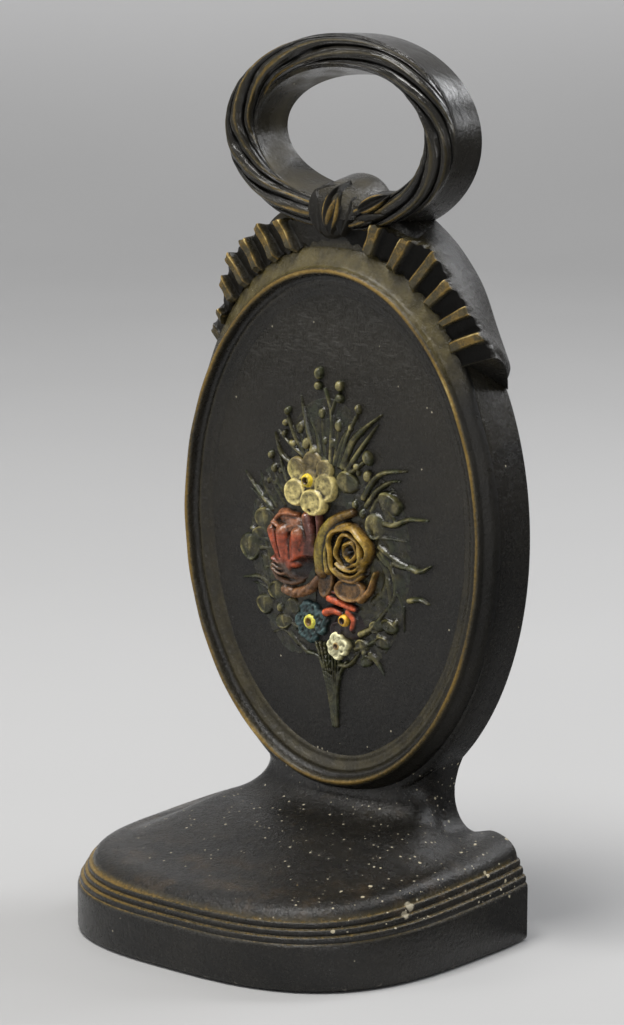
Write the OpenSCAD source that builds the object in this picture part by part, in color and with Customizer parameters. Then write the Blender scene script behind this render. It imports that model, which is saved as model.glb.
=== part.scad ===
// Door stop: a hollow-backed iron casting with a floral medallion and a ring handle.
// X runs to the right, Y towards the door, Z up. The origin is on the floor, under
// the middle of the bounding box. Millimetres.

/* [Base] */
// Half width of the base at its widest
base_half_w = 66.2; // [63:0.1:70]
// Reach of the base forward of its widest line
base_front_r = 70.2; // [66:0.1:75]
// Distance from the back plane to the widest line
base_widest = 26.7; // [22:0.1:30]
// Squareness of the plan curve (2 is an ellipse)
base_square = 2.93; // [2.4:0.01:3.4]
// Plinth height at the back
plinth_back_h = 18.3; // [16:0.1:21]
// Fall of the plinth's top per millimetre towards the front
plinth_fall = 0.042; // [0:0.001:0.06]
// Number of reeds on top of the plinth
reeds = 3; // [2:1:4]
// Height of all the reeds together
reed_stack_h = 6.4; // [5:0.1:8]
// How far the reeds step in
reed_stack_in = 4.2; // [3:0.1:6]

/* [Medallion] */
// Height of the oval's centre above the floor
oval_z = 125.8; // [122:0.1:130]
// Half width of the oval at the back
oval_half_w = 63.8; // [61:0.1:66]
// Half height of the oval at the back
oval_half_h = 89.9; // [87:0.1:92]
// Depth of the oval's body
oval_depth = 16.1; // [14:0.1:20]
// Half width of the rim's crest line
crest_half_w = 59.4; // [57:0.1:60]
// Half height of the rim's crest line
crest_half_h = 81.7; // [79:0.1:83]
// Height of the rim's crest above the body's front
crest_h = 6.35; // [5:0.05:8]
// Rise of the flat field above the body's front
field_rise = 1.6; // [1:0.1:2.2]

/* [Neck] */
// Half width of the neck at its narrowest
neck_half_w = 34.7; // [32:0.1:38]
// Depth of the neck at its narrowest
neck_depth = 19; // [17:0.1:21]
// Height of the neck's narrowest line
neck_z = 42.5; // [40:0.1:45]

/* [Ring handle] */
// Height of the ring's centre
ring_z = 248.7; // [246:0.1:252]
// Half width of the ring
ring_half_w = 43.8; // [41:0.1:46]
// Half height of the ring
ring_half_h = 31.3; // [30:0.1:33]
// Half width of the finger hole
hole_half_w = 34.6; // [32:0.1:36]
// Half height of the finger hole
hole_half_h = 19; // [17:0.1:21]
// Strands in the wrap round the ring's front
strands = 4; // [3:1:6]
// Turns of the wrap round the ring
wrap_turns = 5; // [3:1:8]

/* [Ribbon] */
// Pleats on each side of the knot
pleats = 6; // [4:1:8]
// Height of a pleat's crest above the body's front
pleat_h = 5; // [3:0.1:6]
// Height of a pleat's valley above the body's front
valley_h = 1.8; // [1:0.1:2.5]

/* [Bouquet] */
// Radius of the two roses
rose_r = 10; // [9:0.1:10.5]
// Height of the roses above the field
rose_h = 5.5; // [4:0.1:7]
// Height of the smaller blossoms above the field
blossom_h = 3.2; // [2.5:0.1:4]
// Height of the leaves above the field
leaf_h = 1.6; // [1:0.1:2.2]

/* [Casting] */
// Thickness of the iron
wall = 5.2; // [4.5:0.1:6]

/* [Rubber] */
// Radius of a rubber button's head
button_r = 5.5; // [4.5:0.1:6]
// Radius of a rubber button's stem
stem_r = 3; // [2.5:0.1:3.5]
// Length of a rubber button's stem
stem_l = 6; // [4:0.1:7]
// Depth of the recess that holds a button's head
recess = 1.5; // [1:0.1:2]
// How far the feet stand below the iron
foot_proud = 0.5; // [0.3:0.1:1]
// How far the door bumpers stand behind the iron
bumper_proud = 1.5; // [1:0.1:2]

/* [Hidden] */

plan_steps = 56;      // segments round the base's plan curve
ellipse_steps = 96;   // segments round the oval and the ring
depth = base_widest + base_front_r;
origin_y = (depth - bumper_proud) / 2;
iron_z = foot_proud;
corner_r = 2.5;       // rounding of the base's two back corners

iron_color = "#2b2926";
gilt_color = "#6b5327";
rubber_color = "#1b1b1c";

// ---------- Curves ----------

function signed_pow(v, p) = sign(v) * pow(abs(v), p);
function mix(a, b, t) = a + (b - a) * t;
function clamp01(v) = max(0, min(1, v));
function smooth(v) = let (c = clamp01(v)) c * c * (3 - 2 * c);

// A closed ellipse, as points in its own plane.
function ellipse_points(a, b, n = ellipse_steps) =
    [for (i = [0:n - 1]) [a * cos(360 * i / n), b * sin(360 * i / n)]];

// Height of the plinth's top at a distance forward of the back plane.
function plinth_top(y) = plinth_back_h + plinth_fall * y;

// Amount the plan curve pulls in to round a back corner.
function corner_pull(y) =
    let (d = clamp01((y + corner_r) / corner_r))
    corner_r * (1 - sqrt(1 - d * d));

// Even steps, drawn closer together at both ends.
function end_dense(u) = u - 0.11 * sin(360 * u);

// Base plan curve, from the right back corner round the front to the left one.
// The curve is a superellipse, cut off by the back plane.
function plan_curve(inset, u) =
    let (
        a = base_half_w - inset,
        b = base_front_r - inset,
        p = 2 / base_square,
        t0 = asin(pow(base_widest / b, 1 / p)),
        t = t0 - end_dense(u) * (180 + 2 * t0),
        x = a * signed_pow(cos(t), p),
        y = min(0, b * signed_pow(sin(t), p) - base_widest)
    )
    [x - sign(x) * corner_pull(y), y];

// Neck section, over the same range of u.
function neck_curve(w, d, u) =
    let (t = -180 * end_dense(u), p = 2 / 3.2)
    [w * signed_pow(cos(t), p), d * signed_pow(sin(t), p)];

// Forwardness of a point on the plan curve: 0 on the back plane, 1 at the front.
function forward(p) = clamp01(-p[1] / depth);

// Rise of the apron from the reeds to the neck, g running 0 to 1 inwards:
// a quarter-round lobe, a slope, then a hollow flare up to the neck.
function apron_rise(g, f) =
    let (
        lobe_w = mix(0.36, 0.16, smooth(f * 1.6)),
        lobe_h = mix(6.9, 4.6, smooth(f * 3)),
        slope_h = mix(0.4, 9.5, smooth(f * 1.2)),
        flare_at = mix(0.64, 0.76, smooth(f * 2)),
        flare_h = mix(10, 9, f),
        q = clamp01(g / lobe_w),
        s = clamp01((g - lobe_w) / (flare_at - lobe_w)),
        e = clamp01((g - flare_at) / (1 - flare_at))
    )
    lobe_h * sqrt(1 - pow(1 - q, 2)) + slope_h * s + flare_h * (1 - sqrt(1 - e * e));

// ---------- Lofts ----------

// Solid through a stack of closed rings with equal point counts. The rings run
// clockwise as seen from above, and rise from first to last.
module loft(rings) {
    n = len(rings[0]);
    m = len(rings);
    points = [for (r = rings) each r];
    sides = [
        for (k = [0:m - 2], i = [0:n - 1])
        let (j = (i + 1) % n)
        each [
            [k * n + i, k * n + j, (k + 1) * n + j],
            [k * n + i, (k + 1) * n + j, (k + 1) * n + i],
        ]
    ];
    bottom = [[for (i = [n - 1:-1:0]) i]];
    top = [[for (i = [0:n - 1]) (m - 1) * n + i]];
    polyhedron(points, concat(sides, bottom, top), convexity = 10);
}

// Closed band that carries a profile round an ellipse. The profile is a list of
// [inset from the ellipse, height], and its first and last points lie at its foot.
module ellipse_band(a, b, profile, n = ellipse_steps) {
    m = len(profile);
    points = [
        for (i = [0:n - 1], q = profile)
        let (t = 360 * i / n)
        [(a - q[0]) * cos(t), (b - q[0]) * sin(t), q[1]]
    ];
    faces = [
        for (i = [0:n - 1], k = [0:m - 1])
        let (i2 = (i + 1) % n, k2 = (k + 1) % m)
        each [
            [i * m + k, i * m + k2, i2 * m + k2],
            [i * m + k, i2 * m + k2, i2 * m + k],
        ]
    ];
    polyhedron(points, faces, convexity = 10);
}

// Places children drawn in a front view: their X and Y become X and Z, and their
// height stands forward from the given depth.
module front_view(d = 0) {
    translate([0, -d, 0]) rotate([90, 0, 0]) children();
}

// Moves from the modelling frame (back plane at y = 0) to the part's frame.
module placed() {
    translate([0, origin_y, iron_z]) children();
}

// ---------- Casting ----------

// Ribbon's backing behind the pleats: the oval's outline, let out to the shoulders.
function shoulder_factor(t) = mix(1.16, 1.06, clamp01((abs(t) - 20) / 34));

module shoulder_outline() {
    reach = 54;
    polygon([
        [0, 0],
        for (t = [-reach:4:reach])
            let (k = shoulder_factor(t))
            [oval_half_w * k * sin(t), oval_half_h * k * cos(t)],
    ]);
}

module upright_outline() {
    translate([0, oval_z]) polygon(ellipse_points(oval_half_w, oval_half_h));
    translate([0, oval_z]) shoulder_outline();
    translate([0, ring_z]) polygon(ellipse_points(ring_half_w, ring_half_h));
}

field_root = 2;       // how far the raised field is rooted in the body behind it

module upright() {
    difference() {
        union() {
            front_view() linear_extrude(oval_depth) difference() {
                upright_outline();
                translate([0, ring_z]) polygon(ellipse_points(hole_half_w, hole_half_h));
            }
            front_view(oval_depth - field_root) linear_extrude(field_rise + field_root)
                translate([0, oval_z])
                polygon(ellipse_points(crest_half_w - rim_w, crest_half_h - rim_w));
        }
        pocket_d = oval_depth + field_rise - wall;
        front_view(-1) linear_extrude(pocket_d + 1)
            translate([0, oval_z])
            polygon(ellipse_points(oval_half_w - wall - 1.5, oval_half_h - wall - 1.5));
    }
}

// Levels of the base's outside: [inset, height above the plinth's top].
reed_w = reed_stack_in / reeds;
reed_h = reed_stack_h / reeds;
reed_levels = [
    for (r = [0:reeds - 1], q = [0.12, 0.55, 0.9])
    [reed_w * (r + pow(q, 2.2)), reed_h * (r + q)]
];

function skin_ring(inset, rise) = [
    for (i = [0:plan_steps])
    let (p = plan_curve(inset, i / plan_steps))
    [p[0], p[1], plinth_top(p[1]) + rise]
];

function floor_ring(inset, z) = [
    for (i = [0:plan_steps])
    let (p = plan_curve(inset, i / plan_steps))
    [p[0], p[1], z]
];

function apron_ring(g, shrink = 0) = [
    for (i = [0:plan_steps])
    let (
        u = i / plan_steps,
        p = plan_curve(reed_stack_in + shrink, u),
        q = neck_curve(neck_half_w - shrink, neck_depth - shrink, u),
        f = forward(plan_curve(reed_stack_in, u)),
        z = plinth_top(p[1]) + reed_stack_h + apron_rise(g, f) - shrink
    )
    [mix(p[0], q[0], g), mix(p[1], q[1], g), z]
];

function neck_ring(w, d, z, back = 0) = [
    for (i = [0:plan_steps])
    let (q = neck_curve(w, d, i / plan_steps))
    [q[0], q[1] - back, z]
];

apron_levels = [0, 0.04, 0.1, 0.18, 0.28, 0.4, 0.52, 0.64, 0.74, 0.83, 0.91, 0.96, 0.99];
// Height inside the oval's body at which the neck ends.
neck_top_z = neck_z + 16;

module base_outside() {
    loft(concat(
        [floor_ring(0.3, 0), floor_ring(0, 1)],
        [skin_ring(0, -0.6)],
        [for (q = reed_levels) skin_ring(q[0], q[1])],
        [for (g = apron_levels) apron_ring(g)],
        [neck_ring(neck_half_w + 2, neck_depth - 5, neck_top_z, 1.5)]
    ));
}

// Carries the two ends of a ring out past the back plane, so that it cuts through.
function open_back(ring) = [
    for (i = [0:len(ring) - 1])
    let (p = ring[i], is_end = i == 0 || i == len(ring) - 1)
    [p[0], is_end ? 4 : p[1], p[2]]
];

module base_hollow() {
    levels = [0, 0.2, 0.42, 0.66, 0.86, 1];
    loft(concat(
        [open_back(floor_ring(wall, -1))],
        [open_back(skin_ring(wall, -2))],
        [for (g = levels) open_back(apron_ring(g, wall))],
        [open_back(neck_ring(neck_half_w - wall, neck_depth - wall - 1, neck_top_z + 1))]
    ));
}

front_foot = [0, -depth + wall + button_r];
rear_foot = [base_half_w - wall - button_r, -base_widest];
bumper = [base_half_w - wall - button_r - 1.5, 0, 9];
boss_r = button_r + 2.5;

module foot_boss(at, side = 1) {
    translate([side * at[0], at[1], 0]) cylinder(r = boss_r, h = stem_l + recess + 3, $fn = 48);
}

module bumper_boss(side) {
    translate([side * bumper[0], 0, bumper[2]])
        rotate([90, 0, 0]) cylinder(r = boss_r, h = stem_l + recess + 3, $fn = 48);
}

// A button's seat, cut into the iron: bore for the stem and recess for the head.
module button_seat() {
    translate([0, 0, -1]) cylinder(r = button_r, h = recess + 1, $fn = 64);
    translate([0, 0, -1]) cylinder(r = stem_r, h = stem_l + recess + 1, $fn = 64);
}

module iron_casting() {
    color(iron_color) placed() difference() {
        union() {
            difference() {
                union() {
                    upright();
                    base_outside();
                }
                base_hollow();
            }
            foot_boss(front_foot);
            for (side = [-1, 1]) {
                foot_boss(rear_foot, side);
                bumper_boss(side);
            }
        }
        translate([front_foot[0], front_foot[1], 0]) button_seat();
        for (side = [-1, 1]) {
            translate([side * rear_foot[0], rear_foot[1], 0]) button_seat();
            translate([side * bumper[0], 0, bumper[2]]) rotate([90, 0, 0]) button_seat();
        }
    }
}

// ---------- Rim ----------

rim_w = 7.8;          // from the crest line in to the flat field
rim_profile = [
    [-4, 0], [-3.6, 1.6], [-2.2, 3.6], [-0.9, 0.94 * crest_h],
    [0, crest_h], [0.9, 0.93 * crest_h], [2.1, 3.7],
    [2.9, 3.9], [3.5, 4.2], [4.1, 3.8],
    [5, 2.5], [6.2, 1.9], [6.9, 2.3], [7.4, 2.1],
    [rim_w, field_rise], [rim_w, 0],
];

module rim_molding() {
    color(gilt_color) placed() front_view(oval_depth) translate([0, oval_z, 0])
        ellipse_band(crest_half_w, crest_half_h, rim_profile);
}

// ---------- Ring wrap ----------

// Twisted wrap on the ring's front: strands bulge from a band that lies on the
// ring's face, and wind round it as they go.
wrap_overhang = 0.9;  // how far the wrap swells past the ring's outer edge
wrap_h = 3.9;
wrap_mid_w = (ring_half_w + hole_half_w + wrap_overhang) / 2;
wrap_mid_h = (ring_half_h + hole_half_h + wrap_overhang) / 2;
wrap_half_w = (ring_half_w - hole_half_w + wrap_overhang) / 2;
wrap_half_h = (ring_half_h - hole_half_h + wrap_overhang) / 2 - 0.8;

// Height of the wrap at an angle across the band (0 inner edge, 180 outer edge).
function wrap_swell(a, t) = 1 - 0.12 * abs(sin((strands * a + wrap_turns * 2 * t) / 2));

module ring_wrap() {
    across = [0, 25, 50, 75, 105, 130, 155, 180];
    m = len(across);
    n = ellipse_steps;
    points = [
        for (i = [0:n - 1], a = across)
        let (
            t = 360 * i / n,
            k = wrap_swell(a, t),
            s = signed_pow(cos(a), 0.75),
            x = (wrap_mid_w - wrap_half_w * s) * cos(t),
            y = (wrap_mid_h - wrap_half_h * s) * sin(t)
        )
        [x, y, wrap_h * pow(sin(a), 0.75) * k]
    ];
    faces = [
        for (i = [0:n - 1], k = [0:m - 1])
        let (i2 = (i + 1) % n, k2 = (k + 1) % m)
        each [
            [i * m + k, i2 * m + k, i2 * m + k2],
            [i * m + k, i2 * m + k2, i * m + k2],
        ]
    ];
    color(gilt_color) placed() front_view(oval_depth) difference() {
        translate([0, ring_z, 0]) polyhedron(points, faces, convexity = 10);
        knot_seat();
    }
}

// ---------- Ribbon ----------

// One side's pleated frill, on an arc about the oval from start to end (degrees
// from the top, clockwise). The sections alternate between valleys and crests.
module pleated_frill(start, end) {
    n = 2 * pleats + 1;
    span = end - start;
    section = [
        for (i = [0:n - 1])
        let (
            u = i / (n - 1),
            t = start + span * u,
            crest = i % 2,
            taper = mix(1, 0.45, pow(u, 3)),
            inner = 1.085 + 0.006 * crest,
            outer = mix(1.225, 1.09, pow(u, 4)) + 0.025 * crest,
            h = mix(valley_h, pleat_h, crest) * mix(1, 0.8, u)
        )
        [t, inner, outer, h * taper + 0.4]
    ];
    function at(s, k) = [crest_half_w * k * sin(s[0]), crest_half_h * k * cos(s[0])];
    points = [
        for (s = section)
        let (p = at(s, s[1]), q = at(s, s[2]))
        each [[p[0], p[1], 0], [q[0], q[1], 0], [q[0], q[1], s[3]], [p[0], p[1], s[3]]]
    ];
    turn = span > 0 ? 1 : -1;
    sides = [
        for (i = [0:n - 2], k = [0:3])
        let (a = 4 * i + k, b = 4 * i + (k + 1) % 4)
        each (turn > 0
            ? [[a, b, b + 4], [a, b + 4, a + 4]]
            : [[a, b + 4, b], [a, a + 4, b + 4]])
    ];
    last = 4 * (n - 1);
    caps = turn > 0
        ? [[3, 2, 1, 0], [last, last + 1, last + 2, last + 3]]
        : [[0, 1, 2, 3], [last + 3, last + 2, last + 1, last]];
    polyhedron(points, concat(sides, caps), convexity = 8);
}

module ribbon_left() {
    color(gilt_color) placed() front_view(oval_depth) translate([0, oval_z, 0])
        pleated_frill(-10, -50);
}

module ribbon_right() {
    color(gilt_color) placed() front_view(oval_depth) translate([0, oval_z, 0])
        pleated_frill(10, 50);
}

// Knot: an egg of three folds that lean across the foot of the ring's wrap.
knot_at = [1, 226.4];
knot_half_w = 9.2;
knot_half_h = 8.4;
knot_h = 7.6;

module knot_outline() {
    translate(knot_at) polygon(ellipse_points(knot_half_w, knot_half_h, 40));
}

// The room that the knot takes out of the wrap.
module knot_seat() {
    translate([0, 0, -1]) linear_extrude(knot_h + 2) knot_outline();
}

module ribbon_knot() {
    color(gilt_color) placed() front_view(oval_depth) intersection() {
        linear_extrude(knot_h) knot_outline();
        union() {
            linear_extrude(0.45 * knot_h) knot_outline();
            for (k = [-1:1]) translate([knot_at[0] + 5.2 * k, knot_at[1], 0])
                rotate([0, 0, -18]) hull() {
                    translate([0, -4.5, 0]) dome(4.4, knot_h - abs(k), 32);
                    translate([0, 4, 0]) dome(3.8, knot_h - 0.8 - abs(k), 32);
                }
        }
    }
}

// ---------- Bouquet ----------

// Spherical cap of a given foot radius and height, standing on its plane.
module dome(r, h, steps = 40) {
    ball_r = (r * r + h * h) / (2 * h);
    intersection() {
        translate([0, 0, h - ball_r]) sphere(r = ball_r, $fn = steps);
        cylinder(r = r + 1, h = h + 1, $fn = steps);
    }
}

// Places children on the medallion's field, in its own front view.
module on_field() {
    placed() front_view(oval_depth + field_rise) children();
}

// Full rose: rolled petals round a heart, with a ring of open petals outside.
module rose(r, h, petals = 5, turn = 0) {
    heart = 0.62 * r;
    rotate_extrude($fn = 48) polygon([
        [0, 0], [heart, 0], [heart, 0.55 * h], [0.54 * r, 0.82 * h],
        [0.42 * r, 0.7 * h], [0.34 * r, 0.95 * h], [0.22 * r, 0.84 * h],
        [0.14 * r, h], [0, 0.92 * h],
    ]);
    for (i = [0:petals - 1]) rotate(turn + 360 * i / petals)
        translate([0.56 * r, 0, 0]) dome(0.44 * r, 0.62 * h, 28);
}

// Open blossom: round petals about a flat middle that seats the eye.
module blossom(r, h, petals, turn = 0) {
    difference() {
        union() {
            cylinder(r = 0.5 * r, h = 0.7 * h, $fn = 32);
            for (i = [0:petals - 1]) rotate(turn + 360 * i / petals)
                translate([0.58 * r, 0, 0]) dome(0.42 * r, h, 28);
        }
        translate([0, 0, 0.55 * h]) cylinder(r = eye_share * r, h = h, $fn = 32);
    }
}

eye_share = 0.34;     // radius of a blossom's eye, as a share of the blossom's

// Round eye, seated in the blossom's middle.
module blossom_eye(r, h) {
    translate([0, 0, 0.55 * h]) dome(eye_share * r, 0.6 * h, 32);
}

// Pointed leaf from p to q with a raised midrib.
module leaf(p, q, w, h = leaf_h) {
    d = q - p;
    side = w / 2 * [-d[1], d[0]] / norm(d);
    m = p + 0.45 * d;
    a = m + side;
    b = m - side;
    polyhedron(
        [
            [p[0], p[1], 0], [b[0], b[1], 0], [q[0], q[1], 0], [a[0], a[1], 0],
            [m[0], m[1], h],
        ],
        [[0, 1, 2, 3], [1, 0, 4], [2, 1, 4], [3, 2, 4], [0, 3, 4]]
    );
}

// Thin stem from p to q, half round, with a bud of radius r at its end.
module budded_stem(p, q, r) {
    leaf(p, q, 1.2, 0.9);
    translate([q[0], q[1], 0]) dome(r, 1.4, 20);
}

red_rose_at = [-14.5, 117];
gold_rose_at = [7.5, 117];
cream_at = [-8.5, 139.5];
blue_at = [-10.5, 94.5];
red_at = [4, 98];
white_at = [1.5, 86.5];

module red_rose() {
    color("#6d2b26") on_field() translate(red_rose_at) rose(rose_r, rose_h, 5, 20);
}

module gold_rose() {
    color("#8a6a2a") on_field() translate(gold_rose_at) rose(rose_r, rose_h, 6, 10);
}

module cream_blossom() {
    color("#c8b88c") on_field() translate(cream_at) blossom(8.5, blossom_h, 5, 18);
}

module cream_blossom_eye() {
    color("#c79a2c") on_field() translate(cream_at) blossom_eye(8.5, blossom_h);
}

module blue_blossom() {
    color("#2e5a5e") on_field() translate(blue_at) blossom(7, blossom_h, 5, 40);
}

module blue_blossom_eye() {
    color("#c9b437") on_field() translate(blue_at) blossom_eye(7, blossom_h);
}

module red_blossom() {
    color("#8a2f22") on_field() translate(red_at) blossom(6.2, blossom_h, 5, 10);
}

module red_blossom_eye() {
    color("#c9a437") on_field() translate(red_at) blossom_eye(6.2, blossom_h);
}

module white_blossom() {
    color("#c9c4a8") on_field() translate(white_at) blossom(4.8, blossom_h, 6, 0);
}

module white_blossom_eye() {
    color("#4a3a20") on_field() translate(white_at) blossom_eye(4.8, blossom_h);
}

// Fan of leaves on one side of the flowers, each [root height, angle, length].
module leaf_fan(side, root_x, leaves) {
    for (s = leaves) {
        root = [side * root_x, s[0]];
        leaf(root, root + s[2] * [side * cos(s[1]), sin(s[1])], 5);
    }
}

leaf_color = "#34402a";

module leaves_left() {
    color(leaf_color) on_field() leaf_fan(-1, 24.9, [
        [126, 52, 15], [119, 20, 12], [111, 2, 13], [103, -18, 13], [95, -12, 9],
    ]);
}

module leaves_right() {
    color(leaf_color) on_field() leaf_fan(1, 18, [
        [128, 40, 18], [121, 17, 21], [113, 4, 21], [104.5, -3, 20], [96, -24, 14],
    ]);
}

// Spray above the roses: thin stems that fan out and end in buds.
spray_root = [-1, 130];
spray_stems = [
    [133, 26, 1.7], [124, 31, 1.7], [113, 35, 1.9], [103, 38, 1.8], [92, 42, 2],
    [80, 37, 1.7], [68, 33, 1.8], [55, 27, 2], [38, 26, 1.8],
];

// Circle about the cream blossom and the gold rose that the spray keeps clear of.
module spray_clearance() {
    translate([cream_at[0], cream_at[1], -1]) cylinder(r = 8.7, h = 5, $fn = 48);
    translate([gold_rose_at[0], gold_rose_at[1], -1])
        cylinder(r = rose_r + 0.4, h = 5, $fn = 48);
}

module bud_spray() {
    color(leaf_color) on_field() difference() {
        for (s = spray_stems)
            budded_stem(spray_root + 9 * [cos(s[0]), sin(s[0])],
                spray_root + s[1] * [cos(s[0]), sin(s[0])], s[2]);
        spray_clearance();
    }
}

// Stems below the flowers, tapering together to one point.
module stem_bundle() {
    foot = [1, 64];
    heads = [-5.5, -1.5, 2.5];
    color(leaf_color) on_field() for (x = heads)
        leaf([x, 82 - abs(x + 1.5)], foot, 2.6, 1.5);
}

// ---------- Rubber ----------

// Button: a domed head that stands out of its recess, on a plain stem.
module button(proud) {
    color(rubber_color) translate([0, 0, -proud]) {
        cylinder(r = button_r, h = recess + proud, $fn = 64);
        cylinder(r = stem_r, h = stem_l + recess + proud, $fn = 64);
    }
}

module foot(at, side = 1) {
    placed() translate([side * at[0], at[1], 0]) button(foot_proud);
}

module foot_front() { foot(front_foot); }
module foot_rear_left() { foot(rear_foot, -1); }
module foot_rear_right() { foot(rear_foot, 1); }

module door_bumper(side) {
    placed() translate([side * bumper[0], 0, bumper[2]])
        rotate([90, 0, 0]) button(bumper_proud);
}

module door_bumper_left() { door_bumper(-1); }
module door_bumper_right() { door_bumper(1); }

iron_casting();
rim_molding();
ring_wrap();
ribbon_left();
ribbon_right();
ribbon_knot();
red_rose();
gold_rose();
cream_blossom();
cream_blossom_eye();
blue_blossom();
blue_blossom_eye();
red_blossom();
red_blossom_eye();
white_blossom();
white_blossom_eye();
leaves_left();
leaves_right();
bud_spray();
stem_bundle();
foot_front();
foot_rear_left();
foot_rear_right();
door_bumper_left();
door_bumper_right();
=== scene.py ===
"""Iron door stop: an oval medallion with a ring handle, on a spreading foot.

Shapes are worked out in millimetres with the back plane at y = 0, the front towards
-Y and the iron's underside at z = 0. make_object moves them into the CAD frame.
"""

import math

import bmesh
import bpy
import numpy as np
from mathutils import Matrix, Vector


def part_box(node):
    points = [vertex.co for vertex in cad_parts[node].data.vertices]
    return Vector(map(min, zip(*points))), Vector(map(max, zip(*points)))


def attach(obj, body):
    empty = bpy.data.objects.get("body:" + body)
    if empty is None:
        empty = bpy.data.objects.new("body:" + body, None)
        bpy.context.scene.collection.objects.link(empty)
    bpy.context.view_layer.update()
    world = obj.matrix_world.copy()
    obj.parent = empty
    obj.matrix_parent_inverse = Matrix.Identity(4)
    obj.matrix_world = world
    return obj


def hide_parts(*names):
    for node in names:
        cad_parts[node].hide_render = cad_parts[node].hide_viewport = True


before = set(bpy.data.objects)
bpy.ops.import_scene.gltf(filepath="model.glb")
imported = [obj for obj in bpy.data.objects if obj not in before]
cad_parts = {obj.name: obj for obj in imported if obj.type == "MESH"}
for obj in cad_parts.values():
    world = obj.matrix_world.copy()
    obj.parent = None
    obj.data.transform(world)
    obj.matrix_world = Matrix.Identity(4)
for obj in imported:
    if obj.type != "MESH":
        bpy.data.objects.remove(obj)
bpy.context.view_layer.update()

MM = 0.001
IRON_LO, IRON_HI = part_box("iron_casting")
SHIFT = np.array([0.0, IRON_HI.y / MM, IRON_LO.z / MM])

# ---------- Sizes of the casting ----------

# Base: a superellipse in plan, cut by the back plane, with a plinth that falls forwards.
BASE_HALF_W = 66.3
BASE_FRONT_R = 70.2
BASE_WIDEST = 26.7
BASE_SQUARE = 2.93
BASE_DEPTH = BASE_WIDEST + BASE_FRONT_R
PLINTH_BACK_H = 18.3
PLINTH_FALL = 0.042
# Three reeds step in and up round the plinth, between these insets from its edge.
REEDS = 3
REED_START = 0.8
REED_IN = 4.2
CORNER_R = 1.7
WALL = 5.2
# Medallion: the oval body, its field and the crest line of its rim.
OVAL_Z = 125.8
OVAL_W = 63.8
OVAL_H = 89.9
OVAL_DEPTH = 16.1
FIELD_Y = 17.7
CREST_W = 59.4
CREST_H = 81.7
RIM_IN = 7.8
# Heights where the ribbon's shoulders meet the oval and where the ring's saddle stands.
SHOULDER_Z = 175.2
SADDLE_Z = 224
# Neck between the base and the medallion, and the top of the hollow inside it.
NECK_W = 34.7
NECK_D = 19.0
NECK_SQUARE = 3.2
HOLLOW_TOP = 59.5
# Rubber buttons with stems, seated in recesses.
BUTTON_R = 5.5
RECESS = 1.5
STEM_R = 3.0
STEM_L = 6.0
FOOT_PROUD = 0.5
BUMPER_PROUD = 1.5
BUMPER_Z = 9.0
REAR_X = BASE_HALF_W - WALL - BUTTON_R
BUMPER_X = REAR_X - 1.5

# Each button: [centre of the seat, axis they point along, how far they stand proud].
BUTTONS = {
    "foot_front": ((0.0, -BASE_DEPTH + WALL + BUTTON_R, 0), "Z", FOOT_PROUD),
    "foot_rear_right": ((REAR_X, -BASE_WIDEST, 0), "Z", FOOT_PROUD),
    "foot_rear_left": ((-REAR_X, -BASE_WIDEST, 0), "Z", FOOT_PROUD),
    "door_bumper_left": ((-BUMPER_X, 0, BUMPER_Z), "Y", BUMPER_PROUD),
    "door_bumper_right": ((BUMPER_X, 0, BUMPER_Z), "Y", BUMPER_PROUD),
}


# ---------- Small mathematics ----------


def spow(v, p):
    """Power that keeps the sign."""
    return np.sign(v) * np.abs(v) ** p


def mix(a, b, t):
    """a where t is 0 and b where it is 1."""
    return a + (b - a) * t


def clamp01(v):
    return np.clip(v, 0.0, 1.0)


def smooth(v):
    """Smooth step from 0 to 1 as v runs from 0 to 1."""
    c = clamp01(v)
    return c * c * (3 - 2 * c)


def spline(points, per_span):
    """Catmull-Rom curve through the points, per_span steps to a span."""
    p = np.asarray(points, float)
    p = np.vstack([2 * p[0] - p[1], p, 2 * p[-1] - p[-2]])
    t = np.linspace(0, 1, per_span, endpoint=False)[:, None]
    out = []
    for i in range(1, len(p) - 2):
        a, b, c, d = p[i - 1 : i + 3]
        square, cube = 2 * a - 5 * b + 4 * c - d, 3 * b - a - 3 * c + d
        out.append(0.5 * (2 * b + (c - a) * t + square * t**2 + cube * t**3))
    return np.vstack(out + [p[-2][None]])


def waves(x, y, z, seed, size):
    """Smooth pseudo-random field, mostly in -1..1, whose features are about size across."""
    rng = np.random.default_rng(seed)
    total = np.zeros(np.broadcast(x, y, z).shape)
    for _ in range(7):
        d = rng.normal(size=3)
        d *= rng.uniform(0.6, 1.6) / np.linalg.norm(d)
        phase = rng.uniform(0, 2 * math.pi)
        total = total + np.sin((x * d[0] + y * d[1] + z * d[2]) * 2 * math.pi / size + phase)
    return total / 4.0


# ---------- Mesh helpers ----------


def link(name, data):
    """New object in the scene that holds the data."""
    obj = bpy.data.objects.new(name, data)
    bpy.context.scene.collection.objects.link(obj)
    return obj


def make_object(name, points, faces):
    """Mesh object from points in millimetres and a list of faces, wound outwards."""
    mesh = bpy.data.meshes.new(name)
    mesh.from_pydata(((np.asarray(points) + SHIFT) * MM).tolist(), [], faces)
    bm = bmesh.new()
    bm.from_mesh(mesh)
    bmesh.ops.recalc_face_normals(bm, faces=bm.faces)
    bm.to_mesh(mesh)
    bm.free()
    return link(name, mesh)


def points_of(obj):
    """The object's vertices in the modelling frame, in millimetres."""
    co = np.zeros(len(obj.data.vertices) * 3)
    obj.data.vertices.foreach_get("co", co)
    return co.reshape(-1, 3) / MM - SHIFT


def put_float(obj, name, values):
    attribute = obj.data.attributes.new(name, "FLOAT", "POINT")
    attribute.data.foreach_set("value", np.asarray(values, np.float32).ravel())


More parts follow.
